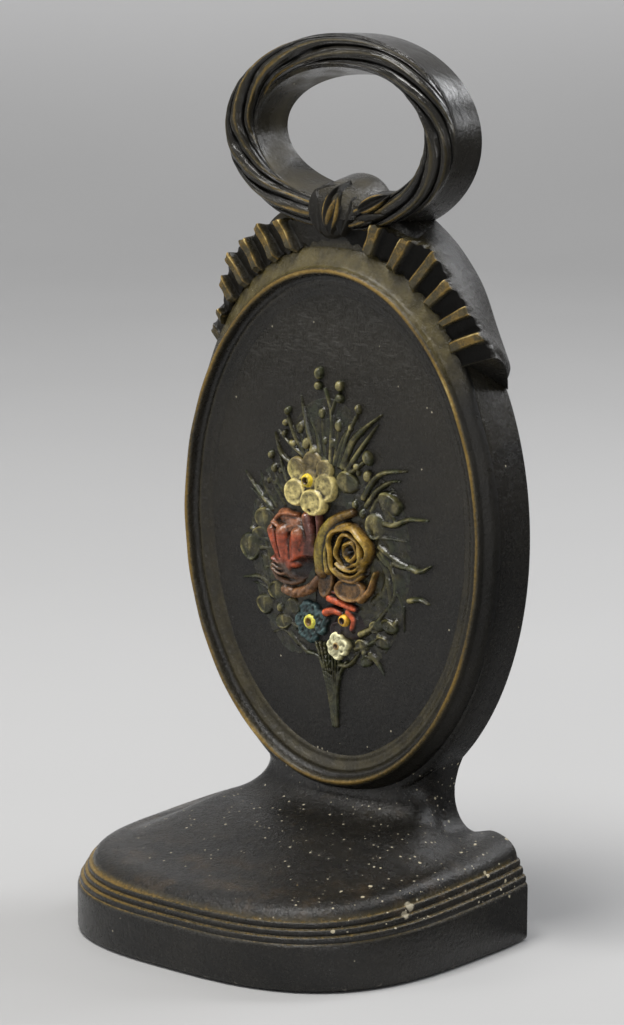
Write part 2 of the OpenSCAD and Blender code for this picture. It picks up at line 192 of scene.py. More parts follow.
def put_color(obj, name, rgb):
    rgba = np.ones((len(rgb), 4), np.float32)
    rgba[:, :3] = rgb
    attribute = obj.data.attributes.new(name, "FLOAT_COLOR", "POINT")
    attribute.data.foreach_set("color", rgba.ravel())


def dress(obj, material, node, sharp):
    """Gives a finished piece its shading, its material and its place in the frame.
    """
    obj.data.materials.clear()
    obj.data.materials.append(material)
    obj.data.shade_smooth()
    obj.data.set_sharp_from_angle(angle=math.radians(sharp))
    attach(obj, "root")
    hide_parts(node)


def loft_faces(m, n, around=False):
    """Faces through m rings of n points; around joins the last ring to the first."""
    index = np.arange(m * n).reshape(m, n)
    low = index if around else index[:-1]
    high = np.roll(index, -1, axis=0) if around else index[1:]
    quads = np.stack([low, np.roll(low, -1, axis=1), np.roll(high, -1, axis=1), high], -1)
    faces = quads.reshape(-1, 4).tolist()
    if not around:
        faces.append(index[0][::-1].tolist())
        faces.append(index[-1].tolist())
    return faces


def loft(name, rings, around=False):
    """Closed solid through rings that all have the same number of points."""
    rings = np.asarray(rings, float)
    return make_object(name, rings.reshape(-1, 3), loft_faces(*rings.shape[:2], around))


def combine(target, tool, operation):
    """Boolean of two closed solids; the tool is used up."""
    modifier = target.modifiers.new("boolean", "BOOLEAN")
    modifier.operation = operation
    modifier.solver = "MANIFOLD"
    modifier.object = tool
    graph = bpy.context.evaluated_depsgraph_get()
    mesh = bpy.data.meshes.new_from_object(target.evaluated_get(graph))
    target.modifiers.clear()
    target.data = mesh
    bpy.data.objects.remove(tool)
    return target


def circle(steps):
    """Angles at even steps round a circle."""
    return np.arange(steps) * 2 * math.pi / steps


def revolve(name, profile, centre, axis):
    """Solid of revolution from [radius, height] points, along +Z or towards -Y."""
    steps = 56
    t = circle(steps)
    rings = []
    for r, h in profile:
        u, v, w = r * np.cos(t), r * np.sin(t), np.full(steps, h)
        rings.append(np.stack([u, v, w] if axis == "Z" else [u, -w, v], -1) + centre)
    return loft(name, rings)


# ---------- Base ----------


def end_dense(u):
    """Bunches evenly spread values from 0 to 1 towards both ends."""
    return u - 0.11 * np.sin(2 * math.pi * u)


def corner_pull(y):
    """How far the rounded vertical corners at the back draw in the sides."""
    d = clamp01((y + CORNER_R) / CORNER_R)
    return CORNER_R * (1 - np.sqrt(1 - d * d))


def plan_curve(inset, u):
    """Base plan from the right back corner round the front to the left one."""
    a = BASE_HALF_W - inset
    b = BASE_FRONT_R - inset
    p = 2 / BASE_SQUARE
    t0 = math.asin((BASE_WIDEST / b) ** (1 / p))
    t = t0 - end_dense(u) * (math.pi + 2 * t0)
    x = a * spow(np.cos(t), p)
    y = np.minimum(0, b * spow(np.sin(t), p) - BASE_WIDEST)
    return x, y


def side_curve(inset, u):
    """Base plan with its back corners rounded."""
    x, y = plan_curve(inset, u)
    return x - np.sign(x) * corner_pull(y), y


def plinth_top(y):
    """Height of the plinth's top, where the reeds start."""
    return PLINTH_BACK_H + PLINTH_FALL * y


def reed_height(y):
    """Height of the whole stack of reeds, taller towards the back."""
    return 6.0 + 1.3 * smooth((y + 85) / 45)


def neck_curve(w, d, u, square=NECK_SQUARE):
    """Plan of the neck, from right to left round the front like the base's."""
    t = -math.pi * end_dense(u)
    p = 2 / square
    return w * spow(np.cos(t), p), d * spow(np.sin(t), p)


def apron_rise(g, f):
    """Height of the apron above the reeds: a rounded lobe, a slope and a flare.

    g runs from 0 at the reeds to 1 at the neck, and f from 0 at the back to 1 at the front.
    """
    lobe_w = mix(0.38, 0.16, smooth(f * 1.6))
    lobe_h = mix(6.6, 4.9, smooth(f * 3))
    slope_h = mix(-1.7, 9.4, smooth(f * 1.25 + 0.06))
    flare_at = mix(0.66, 0.76, smooth(f * 2))
    q = clamp01(g / lobe_w)
    s = clamp01((g - lobe_w) / (flare_at - lobe_w))
    e = clamp01((g - flare_at) / (1 - flare_at))
    flare = 1 - np.sqrt(np.maximum(0, 1 - e * e))
    flare_h = mix(12.1, 9.2, smooth(f * 3))
    slope = slope_h * smooth(s) * 0.5
    return lobe_h * np.sqrt(1 - (1 - q) ** 2) + slope + (slope_h * s * 0.5 + flare_h * flare)


def base_ring(inset, z, u):
    x, y = side_curve(inset, u)
    return np.stack([x, y, z + 0 * x], -1)


def skin_ring(inset, rise, share, u):
    """Ring that follows the plinth's top: rise is fixed, share counts in reed stacks."""
    x, y = side_curve(inset, u)
    return np.stack([x, y, plinth_top(y) + rise + share * reed_height(y)], -1)


def apron_ring(g, u, shrink=0.0):
    """Ring of the apron at g, or of the hollow that lies the depth shrink inside it."""
    x, y = side_curve(REED_IN + shrink, u)
    nx, ny = neck_curve(NECK_W - shrink, NECK_D - shrink, u)
    f = clamp01(-plan_curve(REED_IN, u)[1] / BASE_DEPTH)
    z = plinth_top(y) + reed_height(y) + apron_rise(g, f) - shrink
    # The left flank is cast lower than the right, most of all along its outer edge.
    left = smooth(-x / 30)
    mound = math.sin(math.pi * min(1.0, g / 0.72)) if g < 0.72 else 0.0
    edge = math.sqrt(1 - (1 - min(1.0, g / 0.16)) ** 2) * (1 - smooth((g - 0.5) / 0.45))
    z = z - left * mound * 2.4 * (1 - smooth(f / 0.3))
    z = z - left * edge * 2.9 * (1 - smooth((f - 0.45) / 0.4))
    return np.stack([mix(x, nx, g), mix(y, ny, g), z], -1)


def neck_ring(u, w, d, z, square):
    x, y = neck_curve(w, d, u, square)
    return np.stack([x, y, z + 0 * x], -1)


def past_back(rings, reach):
    """Carries the ends of each ring out behind the back plane."""
    out = []
    for k, ring in enumerate(rings):
        behind = reach + 0.02 * k
        first, last = ring[0].copy(), ring[-1].copy()
        first[1] = last[1] = behind
        out.append(np.vstack([first, ring, last]))
    return out


def reed_profile():
    """[inset, rise, share of the reed stack] of the plinth's edge and the reeds."""
    rows = [[0, -1.5, 0], [0.12, -0.8, 0], [0.45, -0.25, 0], [REED_START - 0.1, 0.02, 0]]
    width = (REED_IN - REED_START) / REEDS
    reed = ((0.06, 0.10), (-0.10, 0.3), (-0.12, 0.55), (0.0, 0.78), (0.28, 0.93), (0.62, 0.99))
    for k in range(REEDS):
        start = REED_START + k * width
        for inset, share in (*reed, (width - 0.1, 1.0)):
            rows.append([start + inset, 0.0, (k + share) / REEDS])
    return rows


def build_base():
    u = np.linspace(0, 1, 241)
    foot = ((1.0, 0), (0.3, 0.25), (0, 1.0), (0, 6.0), (0, 11.0))
    neck = (
        (34.8, 18.6, 44.2, 3.3), (35.3, 17.8, 46.5, 3.6), (36.2, 16.9, 50, 4.2),
        (37.9, 15.8, 54, 5.5), (39.5, 14.5, 58.5, 7),
    )
    rings = [base_ring(inset, z, u) for inset, z in foot]
    rings += [skin_ring(*row, u) for row in reed_profile()]
    rings += [apron_ring(g, u) for g in 1 - (1 - np.linspace(0.012, 0.993, 64)) ** 1.15]
    rings += [neck_ring(u, *row) for row in neck]
    return loft("base", past_back(rings, 5))


def build_hollow():
    u = np.linspace(0, 1, 121)
    rings = [base_ring(WALL, -1, u), base_ring(WALL, 6, u), skin_ring(WALL, -2, 0, u)]
    rings += [apron_ring(g, u, WALL) for g in np.linspace(0, 1, 18)]
    rings.append(neck_ring(u, NECK_W - WALL, NECK_D - WALL - 1, HOLLOW_TOP, NECK_SQUARE))
    return loft("hollow", past_back(rings, 9))


# ---------- Upright ----------


# Right-hand edges from the top down, of the ribbon's drape and of the body behind it.
SHOULDER = [
    (0, 226), (12, 226), (22, 225), (28.1, 222.1), (32.7, 218.6), (37.2, 214.3),
    (42.7, 207.7), (46.3, 201.6), (50, 192.7), (53.6, 184.8), (55.2, 180.8),
    (54.9, 178.2), (53.4, SHOULDER_Z),
]

BODY_SHOULDER = [
    (0, 226), (12, 226), (22, 225), (28.0, 222.0), (31.6, 217.6), (35.2, 212.0), (39.6, 205.0),
    (43.0, 198.6), (46.6, 190.8), (49.8, 182.6), (51.4, 178.9), (52.9, SHOULDER_Z),
]


def oval_arc(end, steps):
    """Right side of the oval, from the shoulder's end down to the angle end."""
    t = np.linspace(math.asin((SHOULDER_Z - OVAL_Z) / OVAL_H), end, steps)[1:]
    return np.stack([OVAL_W * np.cos(t), OVAL_Z + OVAL_H * np.sin(t)], -1)


def upright_outline():
    """Outline of the medallion's body, clockwise, with the shoulders under the ribbon."""
    right = np.vstack([spline(BODY_SHOULDER, 6), oval_arc(-math.pi / 2, 110)])
    left = right[1:-1][::-1] * [-1, 1]
    return np.vstack([right, left])


def inward_normals(outline):
    """Unit normals at the points of a clockwise outline, towards its inside."""
    ahead = np.roll(outline, -1, axis=0) - np.roll(outline, 1, axis=0)
    ahead /= np.linalg.norm(ahead, axis=1)[:, None]
    return np.stack([ahead[:, 1], -ahead[:, 0]], -1)


def extrude(name, outline, levels):
    """Stacks the outline along -Y at [depth, inset] levels."""
    normals = inward_normals(outline)
    rings = []
    for depth, inset in levels:
        p = outline + normals * inset
        rings.append(np.stack([p[:, 0], np.full(len(p), -depth), p[:, 1]], -1))
    return loft(name, rings)


def ellipse_outline(w, h, z, steps=200):
    t = -circle(steps)
    return np.stack([w * np.cos(t), z + h * np.sin(t)], -1)


def build_upright():
    edge = [[0, 1.3], [0.25, 0.5], [0.9, 0.05], [8, 0.1]]
    front = [[OVAL_DEPTH - 1.4, 0.3], [OVAL_DEPTH - 0.4, 0.7], [OVAL_DEPTH, 1.5]]
    body = extrude("upright", upright_outline(), edge + front)
    field = ellipse_outline(CREST_W - RIM_IN + 1.2, CREST_H - RIM_IN + 1.2, OVAL_Z)
    combine(body, extrude("field", field, [[12, 0], [FIELD_Y, 0]]), "UNION")
    return body


def build_pocket():
    pocket = ellipse_outline(OVAL_W - WALL - 1.5, OVAL_H - WALL - 1.5, OVAL_Z, 160)
    floor = FIELD_Y - WALL
    levels = [[-2, -0.6], [0.1, -0.4], [0.9, 0.2], [floor - 2.5, 1.2], [floor - 0.8, 1.9]]
    return extrude("pocket", pocket, levels + [[floor - 0.15, 3.2], [floor, 4.8]])


# Ring handle: [centre x, centre z, half width, half height] at the back and the front.
RING_OUT_BACK = np.array([0.0, 248.7, 43.3, 31.2])
RING_OUT_FRONT = np.array([0.0, 250.2, 44.2, 30.6])
RING_IN_BACK = np.array([0.0, 248.9, 34.6, 17.8])
RING_IN_FRONT = np.array([-0.4, 249.3, 34.9, 21.0])
# Outlines of the wrap that lies on the ring's front, in the same form.
WRAP_OUT = np.array([-0.5, 250.1, 45.3, 30.3])
WRAP_IN = np.array([-1.0, 249.3, 34.9, 21.6])


def build_ring():
    levels = ((0, 1.6), (0.2, 0.7), (0.9, 0.1), (5, 0), (10, 0), (15.2, 0.1), (16.1, 0.9))
    steps = 220
    t = circle(steps)
    rings = []
    for back, front, way, side in (
        (RING_OUT_BACK, RING_OUT_FRONT, 1, -1),
        (RING_IN_BACK, RING_IN_FRONT, -1, 1),
    ):
        for d, inset in levels[::way]:
            cx, cz, w, h = mix(back, front, d / OVAL_DEPTH) + side * np.array([0, 0, inset, inset])
            rings.append(np.stack([cx + w * np.cos(t), np.full(steps, -d), cz + h * np.sin(t)], -1))
    return loft("ring", rings, around=True)


def build_saddle():
    """Mound in the foot of the finger hole, where the ribbon passes through it."""
    steps = 41
    t = np.linspace(0, math.pi, steps)
    rings = []
    for d, cx, half, top in (
        (0.0, -3.6, 10.5, 235.2), (0.3, -3.5, 12, 236.0), (2.5, -2.2, 12.0, 236.4),
        (5, -1.2, 11.6, 236.5), (10, -0.8, 11.0, 235.8), (16, -0.8, 10.4, 234.6),
        (19.5, -0.8, 9.6, 233.2), (21, -0.8, 8.0, 230.6),
    ):
        x = cx + half * np.cos(t)
        z = SADDLE_Z + (top - SADDLE_Z) * np.sin(t) ** 0.8
        rings.append(np.stack([x, np.full(steps, -d), z], -1))
    return loft("saddle", rings)


def build_casting():
    body = build_base()
    combine(body, build_hollow(), "DIFFERENCE")
    behind = np.array([[90.0, -5.0], [90.0, 300.0], [-90.0, 300.0], [-90.0, -5.0]])
    combine(body, extrude("behind", behind, [[-40, 0], [0, 0]]), "DIFFERENCE")
    upright = build_upright()
    combine(upright, build_ring(), "UNION")
    combine(upright, build_saddle(), "UNION")
    combine(body, upright, "UNION")
    combine(body, build_pocket(), "DIFFERENCE")
    combine(body, build_hollow(), "DIFFERENCE")
    reach = STEM_L + RECESS + 3
    boss_r = BUTTON_R + 2.5
    boss = [[boss_r, reach - 1], [BUTTON_R + 1.6, reach]]
    foot = {"Z": [[BUTTON_R + 1.9, 0], [boss_r, 0.3]], "Y": [[boss_r, 0]]}
    seat_r = BUTTON_R + 0.15
    seat = [[seat_r, -1], [seat_r, RECESS], [STEM_R, RECESS + 0.01], [STEM_R, STEM_L + RECESS]]
    for at, axis, _ in BUTTONS.values():
        combine(body, revolve("boss", foot[axis] + boss, at, axis), "UNION")
    for at, axis, _ in BUTTONS.values():
        combine(body, revolve("seat", seat, at, axis), "DIFFERENCE")
    body.name = "iron_body"
    return body


def casting_gilt(p):
    """Gilding left on the casting: thin lines along the reeds, strongest at the left."""
    x, y, z = p.T
    share = (z - plinth_top(y)) / reed_height(y) * REEDS
    line = np.zeros(len(p))
    for k in range(REEDS + 1):
        line = np.maximum(line, np.exp(-(((share - k + 0.02) / 0.12) ** 2)))
    front = np.abs(np.minimum(0, y + BASE_WIDEST) / BASE_FRONT_R)
    outer = np.abs(x / BASE_HALF_W) ** BASE_SQUARE + front**BASE_SQUARE
    line *= (outer > 0.8) & (share > -0.3) & (share < REEDS + 0.2)
    reach = mix(0.42, 0.76, smooth((15 - x) / 60) * smooth((-y - 30) / 40))
    return line * reach


# ---------- Height-field reliefs ----------

# Height of a relief where there is nothing, just under the field's surface.
FLAT = -0.8


def blur(h, step, sigma):
    """Softens a height field by sigma millimetres."""
    r = max(1, int(round(3 * sigma / step)))
    k = np.exp(-0.5 * (np.arange(-r, r + 1) * step / sigma) ** 2)
    k /= k.sum()
    padded = np.pad(h, r, mode="edge")
    out = sum(w * padded[i : i + h.shape[0], :] for i, w in enumerate(k))
    return sum(w * out[:, i : i + h.shape[1]] for i, w in enumerate(k))


def local(X, Z, at, r, turn):
    """Coordinates along a shape's own axes, in its half widths and half lengths."""
    c, s = math.cos(math.radians(turn)), math.sin(math.radians(turn))
    u = ((X - at[0]) * c + (Z - at[1]) * s) / r[0]
    v = (-(X - at[0]) * s + (Z - at[1]) * c) / r[1]
    return u, v


def dome(X, Z, at, r, h, turn=0.0, power=0.5):
    """Rounded mound; r is its half width and half length."""
    u, v = local(X, Z, at, r, turn)
    q = 1 - u * u - v * v
    return np.where(q > 0, h * np.maximum(q, 0) ** power, FLAT)


def cup(X, Z, at, r, h, turn, hollow, lip):
    """Dished petal or leaf with a raised lip."""
    u, v = local(X, Z, at, r, turn)
    q = np.sqrt(u * u + v * v)
    ring = np.exp(-(((q - (1 - lip)) / lip) ** 2) * 1.6)
    inside = (1 - hollow) + hollow * ring
    edge = np.sqrt(np.maximum(0, 1 - np.clip((q - (1 - lip)) / lip, 0, 1) ** 2))
    return np.where(q < 1, h * inside * edge, FLAT)


def stroke(X, Z, points, w, h, tip):
    """Half-round strand along a curve, narrowing to the share tip of its width and height."""
    p = spline(points, 4) if len(points) > 2 else np.asarray(points, float)
    lengths = np.r_[0, np.cumsum(np.linalg.norm(np.diff(p, axis=0), axis=1))]
    lengths /= lengths[-1]
    best = np.full(X.shape, FLAT)
    for i in range(len(p) - 1):
        a, d = p[i], p[i + 1] - p[i]
        t = clamp01(((X - a[0]) * d[0] + (Z - a[1]) * d[1]) / (d @ d))
        dist = np.hypot(X - a[0] - t * d[0], Z - a[1] - t * d[1])
        taper = mix(1, tip, mix(lengths[i], lengths[i + 1], t) ** 1.6)
        q = 1 - (dist / (w * taper)) ** 2
        height = h * np.sqrt(taper) * np.sqrt(np.maximum(q, 0))
        best = np.maximum(best, np.where(q > 0, height, FLAT))
    return best


def many(X, Z, parts, h=FLAT):
    """Highest of the height h and the parts, each a relief function with its values."""
    for kind, *values in parts:
        h = np.maximum(h, kind(X, Z, *values))
    return h


def carve(h, X, Z, depth, kind, *values):
    """Sinks a part's shape, of height 1, into the height h."""
    return h - depth * np.maximum(0, kind(X, Z, *values))


def relief(name, shape, box, step, front, sink=0.9, soft=0.16):
    """Closed solid whose front is a height field over the plane y = -front.

    box is [x0, x1, z0, z1], sink is how deep the solid reaches behind the plane and soft
    how far its edges are softened. Also returns X, Z and the height at each vertex.
    """
    x0, x1, z0, z1 = box
    X, Z = np.meshgrid(np.arange(x0, x1 + step, step), np.arange(z0, z1 + step, step), indexing="ij")
    h = blur(np.maximum(shape(X, Z), FLAT), step, soft)
    grain = 0.05 * waves(X, 0 * X, Z, 5, 2.3) + 0.03 * waves(X, 0 * X, Z, 6, 0.9)
    h = h + grain * smooth(h + 0.3)
    cavity = h - blur(h, step, 0.75)
    keep = np.maximum.reduce([h[:-1, :-1], h[1:, :-1], h[:-1, 1:], h[1:, 1:]]) > -0.45
    number = -np.ones(X.shape, int)
    used = np.zeros(X.shape, bool)
    for di, dj in ((0, 0), (1, 0), (0, 1), (1, 1)):
        used[di : di + keep.shape[0], dj : dj + keep.shape[1]] |= keep
    count = used.sum()
    number[used] = np.arange(count)
    tops = np.stack([X[used], -front - h[used], Z[used]], -1)
    lows = tops.copy()
    lows[:, 1] = -front + sink
    a, b = number[:-1, :-1][keep], number[1:, :-1][keep]
    c, d = number[1:, 1:][keep], number[:-1, 1:][keep]
    faces = np.stack([a, b, c, d], -1).tolist()
    faces += (np.stack([d, c, b, a], -1) + count).tolist()
    # Walls close the sides wherever a kept cell has no neighbour.
    ring = np.pad(keep, 1)
    for axis, sign, p, q in (
        (0, -1, (0, 1), (0, 0)), (0, 1, (1, 0), (1, 1)),
        (1, -1, (0, 0), (1, 0)), (1, 1, (1, 1), (0, 1)),
    ):
        outside = np.roll(ring, -sign, axis=axis)[1:-1, 1:-1]
        i, j = np.nonzero(keep & ~outside)
        m, n = number[i + p[0], j + p[1]], number[i + q[0], j + q[1]]
        faces += np.stack([m, m + count, n + count, n], -1).tolist()
    obj = make_object(name, np.vstack([tops, lows]), faces)
    put_float(obj, "cavity", np.r_[cavity[used], np.full(count, -0.5)])
    return obj, np.tile(X[used], 2), np.tile(Z[used], 2), np.tile(h[used], 2)


# ---------- Materials ----------


class Nodes:
    """Short forms for building a material's node tree."""

    def __init__(self, name):
        self.material = bpy.data.materials.new(name)
        self.material.use_nodes = True
        self.tree = self.material.node_tree
        self.tree.nodes.clear()
        self.shader = self.new("BsdfPrincipled")
        self.new("OutputMaterial", self.shader.outputs[0])
        # Object coordinates in millimetres, in the CAD frame.
        self.mm = self.vector("MULTIPLY", self.new("TexCoord").outputs["Object"], (1 / MM,) * 3)

    def new(self, kind, *values, **options):
        """New node with its options set and its first inputs filled."""
        node = self.tree.nodes.new("ShaderNode" + kind)
        for key, value in options.items():
            setattr(node, key, value)
        for socket, value in zip(node.inputs, values):
            self.set(socket, value)
        return node

    def set(self, socket, value):
        if isinstance(value, bpy.types.NodeSocket):
            self.tree.links.new(value, socket)
        elif isinstance(value, tuple) and socket.type == "RGBA":
            socket.default_value = (*value, 1)
        else:
            socket.default_value = value

    def fill(self, node, inputs):
        for key, value in inputs.items():
            self.set(node.inputs[key], value)
        return node

    def math(self, operation, *values):
        return self.new("Math", *values, operation=operation).outputs[0]

    def times(self, value, *factors):
        for factor in factors:
            value = self.math("MULTIPLY", value, factor)
        return value

    def plus(self, a, b):
        return self.math("ADD", a, b)

    def vector(self, operation, *values):
        return self.new("VectorMath", *values, operation=operation).outputs[0]

    def noise(self, size, detail=2.0, rough=0.5, stretch=(1, 1, 1), offset=0.0):
        """Noise whose features are about size millimetres across."""
        where = self.vector("MULTIPLY", self.mm, stretch)
        if offset:
            where = self.vector("ADD", where, (offset, offset, offset))
        values = {"Vector": where, "Scale": 1.0 / size, "Detail": detail, "Roughness": rough}
        return self.fill(self.new("TexNoise"), values).outputs["Fac"]

    def patches(self, size, detail, rough, low, high, offset=0.0):
        """Noise turned into patches: 0 below low and 1 above high."""
        return self.ramp(self.noise(size, detail, rough, offset=offset), low, high)

    def cells(self, size):
        node = self.fill(self.new("TexVoronoi"), {"Vector": self.mm, "Scale": 1.0 / size})
        return node.outputs["Distance"], node.outputs["Color"]

    def distance(self, point):
        """Distance in mm from a point given in the modelling frame."""
        node = self.new("VectorMath", self.mm, tuple(np.array(point) + SHIFT), operation="DISTANCE")
        return node.outputs["Value"]

    def ramp(self, value, low, high, a=0.0, b=1.0):
        """Runs smoothly from a to b while the value runs from low to high."""
        node = self.new("MapRange", value, low, high, a, b, interpolation_type="SMOOTHSTEP")
        return node.outputs[0]

    def blend(self, factor, a, b):
        """Colour a where the factor is 0 and b where it is 1."""
        node = self.new("Mix", factor, data_type="RGBA")
        return self.fill(node, {6: a, 7: b}).outputs[2]

    def attribute(self, name, output="Fac"):
        return self.new("Attribute", attribute_name=name).outputs[output]

    def axis(self, which):
        return self.new("SeparateXYZ", self.mm).outputs[which]

    def bump(self, height, distance_mm, strength, under=None):
        node = self.new("Bump")
        self.fill(node, {"Distance": distance_mm * MM, "Strength": strength, "Height": height})
        if under is not None:
            self.set(node.inputs["Normal"], under)
        return node.outputs[0]

    def finish(self, color, rough, normal, metallic=0.0, specular=0.5):
        self.fill(self.shader, {
            "Base Color": color, "Roughness": rough, "Metallic": metallic,
            "Specular IOR Level": specular, "Normal": normal,
        })
        return self.material


IRON_DARK = (0.0085, 0.0080, 0.0070)
IRON_WARM = (0.0210, 0.0185, 0.0140)
OLIVE = (0.074, 0.059, 0.024)
GILT = (0.33, 0.205, 0.045)
GILT_RUB = (0.80, 0.63, 0.27)


def iron_layers(n, warm_share):
    """Colour, roughness and bump of the aged black paint on sand-cast iron."""
    broad = n.noise(24, 3, 0.55)
    patch = n.noise(6, 4, 0.6, offset=11)
    mottle = n.noise(0.9, 3, 0.7, offset=17)
    color = n.blend(n.ramp(broad, 0.35, 0.7, 0, warm_share), IRON_DARK, IRON_WARM)
    color = n.blend(n.ramp(patch, 0.55, 0.8, 0, 0.30), color, (0.030, 0.027, 0.022))
    color = n.blend(n.ramp(mottle, 0.50, 0.72, 0, 0.5), color, (0.040, 0.037, 0.029))
    grain = n.noise(0.42, 3, 0.7)
    pits = n.noise(1.3, 4, 0.65, offset=5)
    swell = n.noise(9, 2, 0.5, offset=3)
    # The ring is smoother and glossier than the rest.
    coarse = n.ramp(n.axis(2), 262, 215, 0.35, 1.0)
    normal = n.bump(swell, 0.6, 0.5)
    normal = n.bump(n.times(pits, coarse), 0.36, 0.9, normal)
    normal = n.bump(n.times(grain, coarse), 0.10, 1.0, normal)
    rough = n.ramp(n.noise(3.5, 4, 0.65, offset=7), 0.3, 0.7, 0.18, 0.32)
    return color, n.times(rough, n.ramp(coarse, 0.3, 1.0, 0.85, 1.0)), normal


def specks(n, color, density, tint=(0.60, 0.54, 0.40), size=2.4, radius=0.12):
    """Small flecks of pale paint; density (0 to 1) is the share of cells that hold one."""
    distance, cell = n.cells(size)
    draws = n.new("SeparateColor", cell).outputs
    chosen = n.math("LESS_THAN", draws[0], density)
    reach = n.times(n.math("POWER", draws[1], 1.6), radius)
    wobble = n.plus(n.times(n.noise(0.5, 1, 0.5, offset=2), 0.7), 0.6)
    inside = n.math("LESS_THAN", n.times(distance, wobble), reach)
    return n.blend(n.times(inside, chosen, 0.85), color, tint)


def gilded(n, color, rough, breakup):
    """Rubbed gold paint over the black; returns colour, roughness and metal share."""
    amount = n.attribute("gilt")
    worn = n.math("SUBTRACT", n.noise(1.1, 4, 0.7, offset=19), 0.5)
    level = n.plus(amount, n.times(worn, breakup * 2))
    film = n.ramp(level, 0.28, 0.85)
    bright = n.ramp(level, 0.72, 1.15)
    under = n.blend(n.ramp(amount, 0.0, 0.5, 0, 0.7), color, OLIVE)
    color = n.blend(n.times(film, 0.85), under, n.blend(bright, GILT, GILT_RUB))
    return color, n.ramp(film, 0, 1, rough, 0.34), n.times(film, 0.5)


def casting_dust(p):
    """Olive rub on the saddle behind the knot and in the ring's bore, and on the field a faint olive that
    grows towards the top: a painted reflection.
    """
    x, y, z = p.T
    saddle = np.exp(-(((x - 4) / 20) ** 2) - ((z - 232) / 8) ** 2)
    shoulder = np.exp(-(((x + 24) / 12) ** 2) - ((z - 222) / 5) ** 2)
    bore = np.hypot(x / 36, (z - 249) / 21.5)
    inside = smooth((1.10 - bore) / 0.04) * smooth((y + 17) / 1.0) * smooth((8 - x) / 22)
    # The field's olive grows towards its top: a painted reflection.
    field = 0.16 * smooth((z - 80) / 110) * (z < 204) * (np.abs(x) < CREST_W) * (y < 0)
    patches = 0.6 + 0.6 * waves(x, y, z, 51, 12)
    dust = np.maximum(np.maximum(saddle, shoulder), 0.9 * inside)
    return clamp01(0.75 * dust * patches + field * (y > -FIELD_Y - 1.0))


def casting_material():
    n = Nodes("black_iron")
    color, rough, normal = iron_layers(n, 0.6)
    x, y, z = n.axis(0), n.axis(1), n.axis(2)
    # The olive attribute holds rubbed dust, and on the field a painted reflection.
    olive = n.attribute("olive")
    color = n.blend(olive, color, (0.075, 0.062, 0.032))
    rough = n.plus(rough, n.times(n.ramp(olive, 0.2, 0.7), 0.30))
    # Ochre dust gathers round the neck and along the apron's foot.
    dust = n.times(n.ramp(z, 17, 24), n.ramp(z, 62, 40), n.patches(7, 5, 0.7, 0.5, 0.8, 31))
    color = n.blend(n.times(dust, 0.22), color, (0.085, 0.060, 0.030))
    foot = n.times(n.ramp(z, 20, 23), n.ramp(z, 31, 25), n.patches(9, 4, 0.65, 0.45, 0.7, 41))
    color = n.blend(n.times(foot, 0.34), color, (0.100, 0.064, 0.030))
    color, rough, metal = gilded(n, color, rough, 0.62)
    # Flecks are few on the body, many on the neck and on the right of the apron.
    near = n.times(n.ramp(z, 21, 36), n.ramp(z, 62, 46))
    right = n.times(n.ramp(z, 15, 20), n.ramp(z, 62, 40), n.ramp(x, 20, 46))
    density = n.plus(n.plus(n.times(near, 0.8), n.times(right, 0.8)), 0.02)
    color = specks(n, color, density, size=1.9, radius=0.21)
    color = specks(n, color, n.times(right, 0.75), (0.62, 0.55, 0.38), 3.6, 0.20)
    color = specks(n, color, 0.05, (0.36, 0.25, 0.12), 7.3, 0.05)
    # Two drops of pale paint lie on the right-hand reeds.
    for at, radius in (((60.8, -55.4, 22.4), 1.5), ((61.1, -57.8, 20.3), 1.3)):
        drop = n.plus(n.distance(at), n.times(n.noise(1.2, 3, 0.6, offset=91), 1.6))
        color = n.blend(n.ramp(drop, radius + 1.1, radius + 0.4, 0, 0.8), color, (0.50, 0.45, 0.33))
    # Fine brush scratches cross the upper right of the field.
    up = n.times(n.ramp(z, 150, 185), n.ramp(y, 34, 31))
    fine = n.noise(0.9, 2, 0.5, stretch=(1.6, 1, 0.35), offset=71)
    cross = n.noise(0.9, 2, 0.5, stretch=(0.35, 1, 1.6), offset=83)
    scratch = n.times(n.math("MAXIMUM", fine, cross), up)
    normal = n.bump(scratch, 0.7, 1.0, normal)
    pale = n.times(n.ramp(scratch, 0.50, 0.68, 0, 0.5), up)
    color = n.blend(pale, color, (0.075, 0.072, 0.062))
    # Chips along the bottom edge show lighter metal.
    chip = n.times(n.ramp(z, 2.6, 0.8), n.patches(2.2, 3, 0.6, 0.60, 0.68, 61))
    color = n.blend(n.times(chip, 0.5), color, (0.20, 0.18, 0.15))
    return n.finish(color, rough, normal, metal, 0.42)


def gilt_material(name, breakup, polish=1.0):
    n = Nodes(name)
    color, rough, normal = iron_layers(n, 0.8)
    tint = n.blend(n.patches(5, 3, 0.6, 0.3, 0.7, 37), (0.058, 0.047, 0.018), (0.132, 0.107, 0.042))
    color = n.blend(n.attribute("olive"), color, tint)
    color, rough, metal = gilded(n, color, rough, breakup)
    # The shade attribute is painted shade: near black, rougher and less shiny where it is 1.
    shade = n.attribute("shade")
    color = n.blend(shade, color, (0.003, 0.003, 0.003))
    rough = n.plus(n.times(rough, polish), n.times(shade, 0.25))
    color = specks(n, color, 0.02, radius=0.1)
    return n.finish(color, rough, normal, metal, n.ramp(shade, 0.0, 1.0, 0.45, 0.1))


